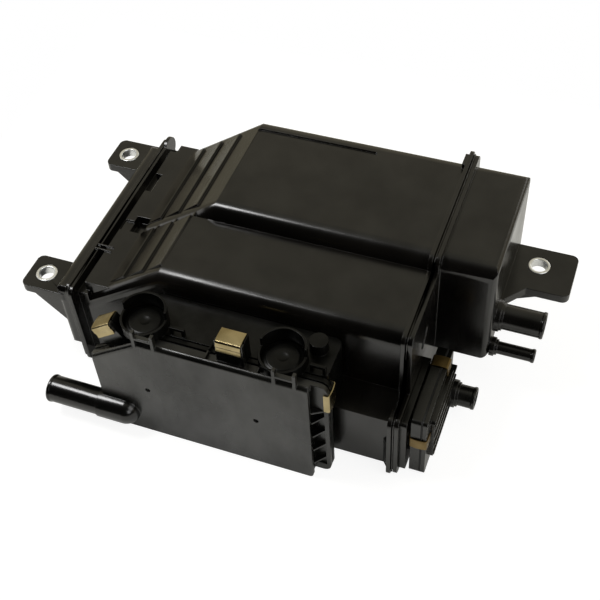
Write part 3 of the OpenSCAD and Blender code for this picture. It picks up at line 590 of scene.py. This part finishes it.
def soften(
    node: str,
    name: str,
    finish: Finish,
    edge: EdgeBreak,
    split: bool = False,
    shaping: Callable[[bmesh.types.BMesh], None] | None = None,
) -> bpy.types.Object:
    """Makes a copy of a solid with broken edges, as a mould or a tool leaves them.

    Args:
        node: the solid to copy.
        name: the piece's name.
        finish: what it is made of.
        edge: how far its edges are rounded.
        split: whether faces that wrap round a hole are cut into convex ones.
        shaping: what else is done to the copy before its edges are broken.

    Returns:
        The piece, which stands for the solid.
    """
    shape = bmesh.new()
    shape.from_mesh(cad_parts[node].data)
    bmesh.ops.remove_doubles(shape, verts=shape.verts, dist=WELD_MM * MM)
    skin = BVHTree.FromBMesh(shape)
    bmesh.ops.dissolve_limit(
        shape,
        angle_limit=math.radians(ONE_FACE_DEG),
        verts=shape.verts,
        edges=shape.edges,
    )
    if split:
        bmesh.ops.connect_verts_concave(shape, faces=shape.faces)
    if shaping:
        shaping(shape)
        skin = BVHTree.FromBMesh(shape)
    rough = bpy.data.objects.new("rough", mesh_of(shape))
    bpy.context.scene.collection.objects.link(rough)
    break_edges(rough, edge, SHARP_DEG, clamp=False)
    mesh = plain_mesh(rough)
    # Rounds that aren't clamped can run past a thin wall, so what left the skin goes back onto it.
    low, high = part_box(node)
    for vertex in mesh.vertices:
        near, _, _, off = skin.find_nearest(vertex.co)
        if off > edge.value * MM:
            vertex.co = near
        vertex.co = [min(max(c, a), b) for c, a, b in zip(vertex.co, low, high)]
    piece = place_piece(name, mesh, finish, node)
    keep_flat(piece, FaceWeight.MOULDING)
    return piece


def plain_mesh(carrier: bpy.types.Object) -> bpy.types.Mesh:
    """Turns an object with modifiers into a plain mesh and removes the object.

    Args:
        carrier: the object that carries the modifiers.

    Returns:
        The evaluated mesh.
    """
    graph = bpy.context.evaluated_depsgraph_get()
    mesh = bpy.data.meshes.new_from_object(carrier.evaluated_get(graph))
    carrier.modifiers.clear()
    bpy.data.objects.remove(carrier)
    mesh.shade_smooth()
    return mesh


class BeadTree:
    """Geometry Nodes tree that runs a round bead along the edges of a path, with an uneven surface."""

    ring_points: int = 10
    lump_mm: float = 2.5
    step_in_radii: float = 2.2

    def __init__(self) -> None:
        """Builds the tree and keeps its named inputs."""
        tree = bpy.data.node_groups.new("bead_along_path", "GeometryNodeTree")
        face = tree.interface
        face.new_socket("Path", in_out="INPUT", socket_type="NodeSocketGeometry")
        self.radius = face.new_socket("Radius", in_out="INPUT", socket_type="NodeSocketFloat")
        self.step = face.new_socket("Step", in_out="INPUT", socket_type="NodeSocketFloat")
        self.wobble = face.new_socket("Wobble", in_out="INPUT", socket_type="NodeSocketFloat")
        self.material = face.new_socket("Material", in_out="INPUT", socket_type="NodeSocketMaterial")
        face.new_socket("Bead", in_out="OUTPUT", socket_type="NodeSocketGeometry")
        given = add(tree, "NodeGroupInput", {})
        curve = add(tree, "GeometryNodeMeshToCurve", {"Mesh": given.outputs["Path"]})
        even = add(
            tree,
            "GeometryNodeResampleCurve",
            {"Curve": curve.outputs[0], "Length": given.outputs["Step"]},
            mode="LENGTH",
        )
        ring = add(
            tree,
            "GeometryNodeCurvePrimitiveCircle",
            {"Resolution": self.ring_points, "Radius": given.outputs["Radius"]},
        )
        tube = add(
            tree,
            "GeometryNodeCurveToMesh",
            {"Curve": even.outputs[0], "Profile Curve": ring.outputs[0], "Fill Caps": True},
        )
        noise = add(tree, "ShaderNodeTexNoise", {"Scale": per_metre(self.lump_mm), "Detail": 1.0})
        # The noise lies between 0 and 1, so half is taken off to push in as much as out.
        lift = add(tree, "ShaderNodeMath", {0: noise.outputs[0], 1: 0.5}, operation="SUBTRACT")
        amount = add(
            tree,
            "ShaderNodeMath",
            {0: lift.outputs[0], 1: given.outputs["Wobble"]},
            operation="MULTIPLY",
        )
        outward = add(tree, "GeometryNodeInputNormal", {})
        push = add(
            tree,
            "ShaderNodeVectorMath",
            {0: outward.outputs[0], "Scale": amount.outputs[0]},
            operation="SCALE",
        )
        uneven = add(
            tree,
            "GeometryNodeSetPosition",
            {"Geometry": tube.outputs[0], "Offset": push.outputs[0]},
        )
        real = add(tree, "GeometryNodeRealizeInstances", {"Geometry": uneven.outputs[0]})
        painted = add(
            tree,
            "GeometryNodeSetMaterial",
            {"Geometry": real.outputs[0], "Material": given.outputs["Material"]},
        )
        add(tree, "NodeGroupOutput", {"Bead": painted.outputs[0]})
        self.tree = tree

    def run(self, path: bpy.types.Mesh, radius_mm: float, wobble_mm: float, finish: Finish) -> bpy.types.Mesh:
        """Runs the bead along a path.

        Args:
            path: a mesh of edges.
            radius_mm: the bead's radius.
            wobble_mm: how uneven its surface is.
            finish: what it is made of.

        Returns:
            The bead as a plain mesh.
        """
        carrier = bpy.data.objects.new("bead_path", path)
        bpy.context.scene.collection.objects.link(carrier)
        modifier = carrier.modifiers.new("bead", "NODES")
        modifier.node_group = self.tree
        modifier[self.radius.identifier] = radius_mm * MM
        modifier[self.step.identifier] = self.step_in_radii * radius_mm * MM
        modifier[self.wobble.identifier] = wobble_mm * MM
        modifier[self.material.identifier] = WARDROBE.take(finish)
        return plain_mesh(carrier)


def path_mesh(runs: list[list[Vector]], closed: bool) -> bpy.types.Mesh:
    """Makes a mesh of edges from runs of points.

    Args:
        runs: the points of each run, in the frame.
        closed: whether each run's end joins its start.

    Returns:
        The mesh.
    """
    points: list[Vector] = []
    edges: list[tuple[int, int]] = []
    for run in runs:
        base = len(points)
        points += run
        edges += [(base + i, base + i + 1) for i in range(len(run) - 1)]
        if closed:
            edges.append((base + len(run) - 1, base))
    mesh = bpy.data.meshes.new("path")
    mesh.from_pydata(points, edges, [])
    return mesh


def rounded_run(
    corners: list[tuple[float, float]], radius: float, steps: int = 6
) -> list[tuple[float, float]]:
    """Rounds the inner corners of a flat run of points.

    Args:
        corners: the points, of which the first and last stay as they are.
        radius: the corner radius.
        steps: the number of parts in each corner.

    Returns:
        The rounded run.
    """
    out = [corners[0]]
    for before, at, after in zip(corners, corners[1:], corners[2:]):
        here = Vector(at)
        back = (Vector(before) - here).normalized()
        on = (Vector(after) - here).normalized()
        start, end = here + back * radius, here + on * radius
        for i in range(steps + 1):
            t = i / steps
            point = start * (1 - t) ** 2 + here * (2 * t * (1 - t)) + end * t**2
            out.append((point.x, point.y))
    out.append(corners[-1])
    return out


@dataclass(frozen=True)
class SpigotTip:
    """Tip of a hose spigot along X, whose bead is slimmed to a lip. Sizes in millimetres, keeps as shares."""

    tip: float
    y: float
    z: float
    radius: float
    bead: float = 6.0
    rise: float = 1.0
    keep_length: float = 0.4
    keep_height: float = 0.6

    def slim(self, shape: bmesh.types.BMesh) -> None:
        """Draws the bead's rings toward the tip and inward.

        Args:
            shape: the copy of the moulding that carries the spigot.
        """
        end = spot(self.tip, self.y, self.z)
        for vertex in shape.verts:
            off = (vertex.co - end) / MM
            reach = math.hypot(off.y, off.z)
            above = reach - self.radius
            if abs(off.x) < self.bead + WELD_MM and -WELD_MM < above < self.rise:
                trim = (self.radius + above * self.keep_height) / reach
                vertex.co = end + Vector((off.x * self.keep_length, off.y * trim, off.z * trim)) * MM


@dataclass
class Shell:
    """Body, left cap and right cover, with the flash that their welds squeeze out. Sizes in millimetres."""

    left_seam_x: float = 27.35
    right_seam_x: float = 243.15
    lowest: float = 4.0
    cap_front: float = -136.6
    cap_back: float = 12.6
    cap_top: float = 69.6
    block_front: float = -158.2
    block_top: float = 52.6
    chamber_front: float = -135.2
    chamber_top: float = 100.2
    step_front: float = -82.2
    rear_top: float = 110.2
    rear_back: float = 13.2
    corner: float = 4.0
    flash_r: float = 0.55
    flash_wobble: float = 0.5
    rim_x: float = 246.35
    rims: tuple[tuple[float, float], ...] = ((-104.6, 73.8), (-109.6, 69.0))
    rim_run: tuple[float, float] = (11.0, 10.5)
    rim_half_long: float = 3.4
    rim_half_wide: float = 1.3
    rim_points: int = 24
    rim_r: float = 0.35
    ports: tuple[SpigotTip, ...] = (
        SpigotTip(308.8, -62.0, 53.0, 8.0),
        SpigotTip(307.0, -72.0, 35.0, 4.0),
    )

    def build(self, beads: BeadTree) -> None:
        """Makes the mouldings, the flash and the oval rims.

        Args:
            beads: the tree that runs beads along paths.
        """
        soften("canister_body", "body_shell", Finish.BLACK_NYLON, EdgeBreak.MOULDED)
        soften("left_end_cap", "left_cap_shell", Finish.BLACK_NYLON, EdgeBreak.MOULDED, split=True)
        soften(
            "right_end_cover",
            "right_cover_shell",
            Finish.BLACK_NYLON,
            EdgeBreak.MOULDED,
            shaping=self._slim_ports,
        )
        self._flash(beads)
        self._rims(beads)

    def _slim_ports(self, shape: bmesh.types.BMesh) -> None:
        """Slims the beads of both hose ports on a copy of the right cover."""
        for port in self.ports:
            port.slim(shape)

    def _flash(self, beads: BeadTree) -> None:
        """Runs weld flash round both seams, open at the bottom.

        Args:
            beads: the tree that runs beads along paths.
        """
        left = rounded_run(
            [
                (self.cap_front, self.lowest),
                (self.cap_front, self.cap_top),
                (self.cap_back, self.cap_top),
                (self.cap_back, self.lowest),
            ],
            self.corner,
        )
        right = rounded_run(
            [
                (self.block_front, self.lowest),
                (self.block_front, self.block_top),
                (self.chamber_front, self.block_top),
                (self.chamber_front, self.chamber_top),
                (self.step_front, self.chamber_top),
                (self.step_front, self.rear_top),
                (self.rear_back, self.rear_top),
                (self.rear_back, self.lowest),
            ],
            self.corner,
        )
        runs = [
            [spot(self.left_seam_x, y, z) for y, z in left],
            [spot(self.right_seam_x, y, z) for y, z in right],
        ]
        mesh = beads.run(path_mesh(runs, False), self.flash_r, self.flash_wobble, Finish.BLACK_NYLON)
        place_piece("weld_flash", mesh, Finish.BLACK_NYLON)

    def _rims(self, beads: BeadTree) -> None:
        """Raises two small oval rims, end to end, on the face of the right flange.

        Args:
            beads: the tree that runs beads along paths.
        """
        along, rise = self.rim_run
        slope = math.atan2(rise, along)
        runs = []
        for y, z in self.rims:
            run = []
            for i in range(self.rim_points):
                a = 2 * math.pi * i / self.rim_points
                u, v = self.rim_half_long * math.cos(a), self.rim_half_wide * math.sin(a)
                run.append(
                    spot(
                        self.rim_x,
                        y + u * math.cos(slope) - v * math.sin(slope),
                        z + u * math.sin(slope) + v * math.cos(slope),
                    )
                )
            runs.append(run)
        mesh = beads.run(path_mesh(runs, True), self.rim_r, 0.0, Finish.BLACK_NYLON)
        place_piece("flange_oval_rims", mesh, Finish.BLACK_NYLON)


@dataclass
class SpringClip:
    """A bent strip with round folds, a crowned back and a flared lip. Sizes in millimetres."""

    width: float
    span: float
    leg: float
    thick: float = 0.75
    fold: float = 1.1
    fold_steps: int = 6
    crown: float = 0.35
    back_steps: int = 8
    flare: float = 0.7
    rear_short: float = 0.2
    # Shares of the flare and of the leg, down the lip: in, out over a bulge, in again and out at its end.
    lip: tuple[tuple[float, float], ...] = ((0.0, 0.30), (0.6, 0.42), (0.0, 0.56), (0.2, 0.78), (1.0, 1.0))

    def _bend(self, middle: float, start: float) -> list[Vector]:
        """Turns the strip by a quarter.

        Args:
            middle: where the bend's centre lies across the flanges.
            start: the angle at which the bend starts.

        Returns:
            Points along the bend.
        """
        points = []
        for i in range(self.fold_steps + 1):
            a = start + QUARTER * i / self.fold_steps
            up = self.thick / 2 - self.fold + self.fold * math.sin(a)
            points.append(Vector((middle + self.fold * math.cos(a), up)))
        return points

    def profile(self) -> list[Vector]:
        """Draws the strip's centre line across the flanges.

        Returns:
            Points from the rear leg to the front lip.
        """
        half = self.span / 2 + self.thick / 2
        back = half - self.fold
        line = [Vector((half, -self.leg + self.rear_short))]
        line += self._bend(back, 0.0)
        for i in range(1, self.back_steps):
            t = i / self.back_steps
            line.append(Vector((back * (1 - 2 * t), self.thick / 2 + self.crown * math.sin(math.pi * t))))
        line += self._bend(-back, QUARTER)
        line += [Vector((-half - self.flare * out, -self.leg * down)) for out, down in self.lip]
        return line

    def add_to(self, shape: bmesh.types.BMesh, place: Matrix) -> None:
        """Adds the clip's closed strip to a bmesh.

        Args:
            shape: the bmesh that takes it.
            place: where it goes, in metres.
        """
        line = self.profile()
        rows = []
        for i, point in enumerate(line):
            ahead = line[min(i + 1, len(line) - 1)]
            behind = line[max(i - 1, 0)]
            along = (ahead - behind).normalized()
            square = Vector((-along.y, along.x)) * (self.thick / 2)
            row = []
            for x, side in ((-1, 1), (1, 1), (1, -1), (-1, -1)):
                flat = point + square * side
                row.append(shape.verts.new(place @ (Vector((x * self.width / 2, flat.x, flat.y)) * MM)))
            rows.append(row)
        faces = [
            [rows[i][k], rows[i][(k + 1) % 4], rows[i + 1][(k + 1) % 4], rows[i + 1][k]]
            for i in range(len(rows) - 1)
            for k in range(4)
        ]
        faces += [rows[0], rows[-1]]
        made = [shape.faces.new(f) for f in faces]
        bmesh.ops.recalc_face_normals(shape, faces=made)


def clip_piece(name: str, clips: list[tuple[SpringClip, Matrix]], finish: Finish, node: str) -> None:
    """Makes the clips of one node as one piece.

    Args:
        name: the piece's name.
        clips: the shape of each clip and where it goes.
        finish: what they are made of.
        node: the solids that the piece stands for.
    """
    shape = bmesh.new()
    for clip, place in clips:
        clip.add_to(shape, place)
    piece = place_piece(name, mesh_of(shape), finish, node)
    break_edges(piece, EdgeBreak.STRIP, STRIP_SHARP_DEG, clamp=True)
    keep_flat(piece, FaceWeight.STRIP)


def clip_place(x: float, y: float, z: float, turn: float, axis: str) -> Matrix:
    """Where a clip sits: a point of the layout, and a turn in degrees about an axis."""
    return Matrix.Translation(spot(x, y, z)) @ Matrix.Rotation(math.radians(turn), 4, axis)


@dataclass
class FilterBox:
    """Filter base and cover, gasket, paper, cup caps and spring clips. Sizes in millimetres."""

    stack_y: float = -163.2
    stack: float = 10.0
    centre_clip: tuple[float, float] = (151.5, 101.0)
    slope: float = 35.62
    slope_clip: tuple[float, float] = (69.85, 85.82)
    end_clip: tuple[float, float] = (209.0, 70.4)
    clip_w: float = 15.0
    clip_leg: float = 7.0
    end_clip_leg: float = 3.0
    end_clip_flare: float = 0.2
    cups: tuple[float, float] = (94.0, 179.0)
    cup_y: float = -157.5
    plate_top: float = 88.0
    plate_front: float = -175.0
    plate_bend: float = 96.5
    plate_round: float = 3.0
    round_steps: int = 6
    wall_facing: float = 0.9
    tube: SpigotTip = SpigotTip(25.0, -175.0, 16.3, 8.5)
    cap_profile: tuple[tuple[float, float], ...] = (
        (0.0, 87.7),
        (3.0, 87.8),
        (3.8, 88.3),
        (8.8, 88.4),
        (9.6, 88.1),
        (10.4, 87.5),
        (11.8, 87.4),
        (12.1, 87.1),
        (12.1, 85.5),
        (0.0, 85.5),
    )
    cap_points: int = 40

    def build(self) -> None:
        """Makes the filter box."""
        # The base takes the darker, dull filter nylon: painted shade.
        soften("filter_base", "filter_base_shell", Finish.FILTER_NYLON_DULL, EdgeBreak.MOULDED)
        soften(
            "filter_cover",
            "filter_cover_shell",
            Finish.FILTER_NYLON,
            EdgeBreak.MOULDED,
            shaping=self._shape_cover,
        )
        dress_node("filter_gasket", Finish.SEAL_RUBBER)
        dress_node("filter_element", Finish.FILTER_PAPER)
        self._caps()
        tall = SpringClip(self.clip_w, self.stack, self.clip_leg)
        short = SpringClip(self.clip_w, self.stack, self.end_clip_leg, flare=self.end_clip_flare)
        clips = [
            (tall, clip_place(self.centre_clip[0], self.stack_y, self.centre_clip[1], 0, "Y")),
            (tall, clip_place(self.slope_clip[0], self.stack_y, self.slope_clip[1], -self.slope, "Y")),
            (short, clip_place(self.end_clip[0], self.stack_y, self.end_clip[1], 90, "Y")),
        ]
        clip_piece("filter_clip_set", clips, Finish.CLIP_STEEL, "filter_clips")

    def _shape_cover(self, shape: bmesh.types.BMesh) -> None:
        """Slims the tube's bead and rounds the plate on a copy of the filter cover."""
        self.tube.slim(shape)
        self._round_plate(shape)

    def _lip(self, shape: bmesh.types.BMesh) -> dict[bmesh.types.BMFace, Vector]:
        """Finds the narrow faces on top of the plate and on its slope.

        Args:
            shape: the copy of the filter cover.

        Returns:
            Each face with the way that it looks.
        """
        bend = spot(self.plate_bend, self.plate_front, self.plate_top)
        tilt = math.radians(self.slope)
        near = WELD_MM * MM
        found = {}
        for way in (UP, Vector((-math.sin(tilt), 0.0, math.cos(tilt)))):
            for face in shape.faces:
                offs = [v.co - bend for v in face.verts]
                if all(abs(o.dot(way)) < near and -near < o.y < self.plate_round * MM + near for o in offs):
                    found[face] = way
        return found

    def _round_plate(self, shape: bmesh.types.BMesh) -> None:
        """Rounds the plate's front edge along its top and its slope.

        The narrow faces are cut into strips, whose corners then drop onto a quarter circle. Where the plate
        ends at a wall they drop straight down, so that the wall stays flat.

        Args:
            shape: the copy of the filter cover.
        """
        front = spot(0.0, self.plate_front, 0.0).y
        radius = self.plate_round * MM
        for step in range(1, self.round_steps):
            level = front + radius * (1 - math.cos(QUARTER * step / self.round_steps))
            lip = self._lip(shape)
            parts = dict.fromkeys(part for face in lip for part in (face, *face.edges, *face.verts))
            bmesh.ops.bisect_plane(
                shape,
                geom=list(parts),
                dist=CUT_M,
                plane_co=(0.0, level, 0.0),
                plane_no=(0.0, 1.0, 0.0),
            )
        lip = self._lip(shape)
        for vertex in dict.fromkeys(v for face in lip for v in face.verts):
            ways = [lip[f] for f in vertex.link_faces if f in lip]
            walled = any(abs(f.normal.x) > self.wall_facing for f in vertex.link_faces)
            along = UP if walled else sum(ways, Vector()).normalized()
            depth = min(max((vertex.co.y - front) / radius, 0.0), 1.0)
            drop = radius * (1 - math.sqrt(1 - (1 - depth) ** 2))
            vertex.co -= along * drop / along.dot(ways[0])

    def _cap_ring(self, shape: bmesh.types.BMesh, x: float, r: float, z: float) -> list[bmesh.types.BMVert]:
        """Adds one ring of a cap's profile, or a single point on its axis.

        Args:
            shape: the bmesh that takes it.
            x: where the cap's axis lies along the canister.
            r: the ring's radius.
            z: the ring's height.

        Returns:
            The ring's points.
        """
        if r == 0.0:
            return [shape.verts.new(spot(x, self.cup_y, z))]
        turns = [2 * math.pi * k / self.cap_points for k in range(self.cap_points)]
        return [
            shape.verts.new(spot(x + r * math.cos(a), self.cup_y + r * math.sin(a), z)) for a in turns
        ]

    def _caps(self) -> None:
        """Turns the two grooved caps that sit in the cups."""
        shape = bmesh.new()
        for x in self.cups:
            rings = [self._cap_ring(shape, x, r, z) for r, z in self.cap_profile]
            for upper, lower in zip(rings, rings[1:]):
                for k in range(self.cap_points):
                    n = (k + 1) % self.cap_points
                    corners = [
                        upper[k % len(upper)],
                        lower[k % len(lower)],
                        lower[n % len(lower)],
                        upper[n % len(upper)],
                    ]
                    shape.faces.new(list(dict.fromkeys(corners)))
        bmesh.ops.recalc_face_normals(shape, faces=shape.faces)
        # The caps take the darker, dull filter nylon: painted shade.
        piece = place_piece("cup_caps", mesh_of(shape), Finish.FILTER_NYLON_DULL, "cup_discs")
        keep_flat(piece, FaceWeight.EVEN)


@dataclass
class VentValve:
    """Vent valve with its joint sheet, plate, spring and clips. Sizes in millimetres."""

    joint_x: float = 256.75
    joint: float = 9.5
    top_clip: tuple[float, float] = (-106.5, 51.8)
    front_clip: tuple[float, float] = (-152.5, 31.8)
    clip_w: float = 8.0
    clip_leg: float = 7.0
    clip_flare: float = 0.2
    nozzle: SpigotTip = SpigotTip(279.2, -101.25, 17.55, 6.75)

    def build(self) -> None:
        """Makes the valve."""
        soften("valve_housing", "valve_housing_shell", Finish.VALVE_NYLON, EdgeBreak.MOULDED)
        soften(
            "valve_cover",
            "valve_cover_shell",
            Finish.VALVE_NYLON,
            EdgeBreak.CRISP,
            shaping=self.nozzle.slim,
        )
        dress_node("valve_diaphragm", Finish.SEAL_RUBBER)
        dress_node("valve_plate", Finish.GRID_NYLON)
        dress_node("valve_spring", Finish.SPRING_STEEL)
        across = Matrix.Rotation(QUARTER, 4, "Z")
        top = clip_place(self.joint_x, *self.top_clip, 0, "X") @ across
        front = clip_place(self.joint_x, *self.front_clip, 90, "X") @ across
        clip = SpringClip(self.clip_w, self.joint, self.clip_leg, flare=self.clip_flare)
        clip_piece("valve_clip_set", [(clip, top), (clip, front)], Finish.CLIP_STEEL_DULL, "valve_clips")


@dataclass
class Packing:
    """What the canister holds: charcoal, foam, pierced plates and springs, and the bushes in its ears."""

    beds: tuple[str, ...] = ("rear_charcoal_bed", "front_charcoal_bed")
    pads: tuple[str, ...] = ("rear_left_pad", "rear_right_pad", "front_left_pad", "front_right_pad")
    grids: tuple[str, ...] = ("rear_left_grid", "rear_right_grid", "front_left_grid", "front_right_grid")
    springs: tuple[str, ...] = ("rear_springs", "front_springs")

    def build(self) -> None:
        """Dresses the contents and makes the bushes."""
        for names, finish in (
            (self.beds, Finish.CHARCOAL),
            (self.pads, Finish.FOAM),
            (self.grids, Finish.GRID_NYLON),
            (self.springs, Finish.SPRING_STEEL),
        ):
            for name in names:
                dress_node(name, finish)
        soften("mount_bushes", "mount_bush_rings", Finish.BUSH_STEEL, EdgeBreak.ROUND)


@dataclass(frozen=True)
class Lamp:
    """A soft lamp. Lengths in metres, light in watts."""

    name: str
    at: tuple[float, float, float]
    size: tuple[float, float]
    watts: float

    def hang(self, target: Vector) -> None:
        """Hangs the lamp so that it looks at the object.

        Args:
            target: the point that it looks at.
        """
        data = bpy.data.lights.new(self.name, "AREA")
        data.shape = "RECTANGLE"
        data.size, data.size_y = self.size
        data.energy = self.watts
        lamp = bpy.data.objects.new(self.name, data)
        lamp.location = self.at
        lamp.rotation_euler = (target - Vector(self.at)).to_track_quat("-Z", "Y").to_euler()
        bpy.context.scene.collection.objects.link(lamp)


@dataclass
class Studio:
    """Floor, light and camera. Lengths in metres, angles in degrees, the lens and sensor in millimetres."""

    eye: tuple[float, float, float] = (0.1810, -0.4000, 0.55005)
    azimuth: float = 23.53
    elevation: float = 48.98
    roll: float = -4.28
    lens: float = 63.6
    sensor: float = 36.0
    clip: tuple[float, float] = (0.01, 50.0)
    white: str = "#ffffff"
    floor_half: float = 0.3
    floor_glow: float = 0.88
    floor_shade: str = "#8a8a89"
    paper: str = "#f4f4f2"
    mirror_glow: float = 0.12
    mirror_tint: str = "#fcfbf4"
    front_wall: tuple[tuple[float, str], ...] = (
        (0.0, "#161616"),
        (0.66, "#1e1e1d"),
        (0.90, "#3c3b38"),
        (1.0, "#6a6962"),
    )
    back_wall: tuple[tuple[float, str], ...] = ((0.0, "#a59e88"), (0.3, "#c8bfa8"), (1.0, "#b2b0a2"))
    wall_blend: tuple[float, float] = (-0.35, 0.25)
    target: tuple[float, float, float] = (0.0, 0.0, 0.05)
    lamps: tuple[Lamp, ...] = (
        Lamp("key_front", (0.80, -0.90, 0.60), (0.5, 0.5), 2.2),
        Lamp("fill_right", (1.0, -0.25, 0.95), (0.8, 0.8), 4.5),
        Lamp("rim_back", (0.5, 1.1, 0.30), (0.8, 0.3), 1.6),
        Lamp("fill_left", (-1.1, -0.1, 0.40), (0.6, 0.5), 1.2),
        Lamp("over_head", (-0.68, -0.10, 1.30), (0.42, 0.34), 8.5),
    )

    def build(self) -> None:
        """Sets up the floor, the world, the lamps and the camera."""
        self._floor()
        self._world()
        for lamp in self.lamps:
            lamp.hang(Vector(self.target))
        self._camera()

    def _floor(self) -> None:
        """Lays a plain white floor."""
        h = self.floor_half
        mesh = bpy.data.meshes.new("floor")
        mesh.from_pydata([(-h, -h, 0), (h, -h, 0), (h, h, 0), (-h, h, 0)], [], [(0, 1, 2, 3)])
        # Matt white paper. Seen straight it is white with a faint shadow, mirrored or through something it is
        # lit paper with a little glow, and to all other rays it is lit paper.
        material, tree, _ = blank_material("paper_sweep_white")
        sheet = add(tree, "ShaderNodeBsdfDiffuse", {"Color": linear(self.paper)})
        lift = add(
            tree,
            "ShaderNodeEmission",
            {"Color": linear(self.mirror_tint), "Strength": self.mirror_glow},
        )
        mirrored = add(tree, "ShaderNodeAddShader", {0: lift.outputs[0], 1: sheet.outputs[0]})
        glow = add(tree, "ShaderNodeEmission", {"Color": linear(self.white), "Strength": self.floor_glow})
        shade = add(tree, "ShaderNodeBsdfDiffuse", {"Color": linear(self.floor_shade)})
        straight = add(tree, "ShaderNodeAddShader", {0: glow.outputs[0], 1: shade.outputs[0]})
        ray = add(tree, "ShaderNodeLightPath", {})
        other = add(
            tree,
            "ShaderNodeMath",
            {0: ray.outputs["Is Glossy Ray"], 1: ray.outputs["Is Transmission Ray"]},
            operation="MAXIMUM",
        )
        lit = add(
            tree,
            "ShaderNodeMixShader",
            {0: other.outputs[0], 1: sheet.outputs[0], 2: mirrored.outputs[0]},
        )
        shader = add(
            tree,
            "ShaderNodeMixShader",
            {0: ray.outputs["Is Camera Ray"], 1: lit.outputs[0], 2: straight.outputs[0]},
        )
        close_material(tree, shader)
        mesh.materials.append(material)
        floor = bpy.data.objects.new("floor", mesh)
        bpy.context.scene.collection.objects.link(floor)

    def _world(self) -> None:
        """Wraps the set in a warm wall behind the object and a dim front that gets paler high up."""
        world = bpy.data.worlds.new("studio")
        bpy.context.scene.world = world
        world.use_nodes = True
        tree = world.node_tree
        tree.nodes.clear()
        way = add(tree, "ShaderNodeTexCoord", {})
        parts = add(tree, "ShaderNodeSeparateXYZ", {0: way.outputs["Generated"]})
        front = add(tree, "ShaderNodeValToRGB", {"Fac": parts.outputs["Z"]}, self.front_wall)
        back = add(tree, "ShaderNodeValToRGB", {"Fac": parts.outputs["Z"]}, self.back_wall)
        side = add(
            tree,
            "ShaderNodeMapRange",
            {"Value": parts.outputs["Y"], "From Min": self.wall_blend[0], "From Max": self.wall_blend[1]},
        )
        wall = add(
            tree,
            "ShaderNodeMix",
            {0: side.outputs[0], 6: front.outputs[0], 7: back.outputs[0]},
            data_type="RGBA",
        )
        # Past the floor's edge the camera sees the floor's own white; the walls only light the object.
        ray = add(tree, "ShaderNodeLightPath", {})
        shown = add(
            tree,
            "ShaderNodeMix",
            {0: ray.outputs["Is Camera Ray"], 6: wall.outputs[2], 7: linear(self.white)},
            data_type="RGBA",
        )
        sky = add(tree, "ShaderNodeBackground", {"Color": shown.outputs[2], "Strength": 1.0})
        add(tree, "ShaderNodeOutputWorld", {"Surface": sky.outputs[0]})

    def _camera(self) -> None:
        """Puts the camera where the photograph was taken from."""
        a, e, r = (math.radians(v) for v in (self.azimuth, self.elevation, self.roll))
        ahead = Vector((-math.sin(a) * math.cos(e), math.cos(a) * math.cos(e), -math.sin(e)))
        right = Vector((math.cos(a), math.sin(a), 0.0))
        up = right.cross(ahead)
        side = right * math.cos(r) + up * math.sin(r)
        head = up * math.cos(r) - right * math.sin(r)
        turn = Matrix((side, head, -ahead)).transposed().to_4x4()
        data = bpy.data.cameras.new("camera")
        data.lens = self.lens
        data.sensor_width = self.sensor
        data.clip_start, data.clip_end = self.clip
        camera = bpy.data.objects.new("camera", data)
        camera.matrix_world = Matrix.Translation(self.eye) @ turn
        bpy.context.scene.collection.objects.link(camera)
        bpy.context.scene.camera = camera


def main() -> None:
    """Builds every part of the scene in order."""
    logging.basicConfig(level=logging.INFO)
    bpy.context.scene.view_settings.view_transform = "Standard"
    beads = BeadTree()
    Shell().build(beads)
    FilterBox().build()
    VentValve().build()
    Packing().build()
    Studio().build()
    bpy.context.view_layer.update()


if __name__ == "__main__":
    main()
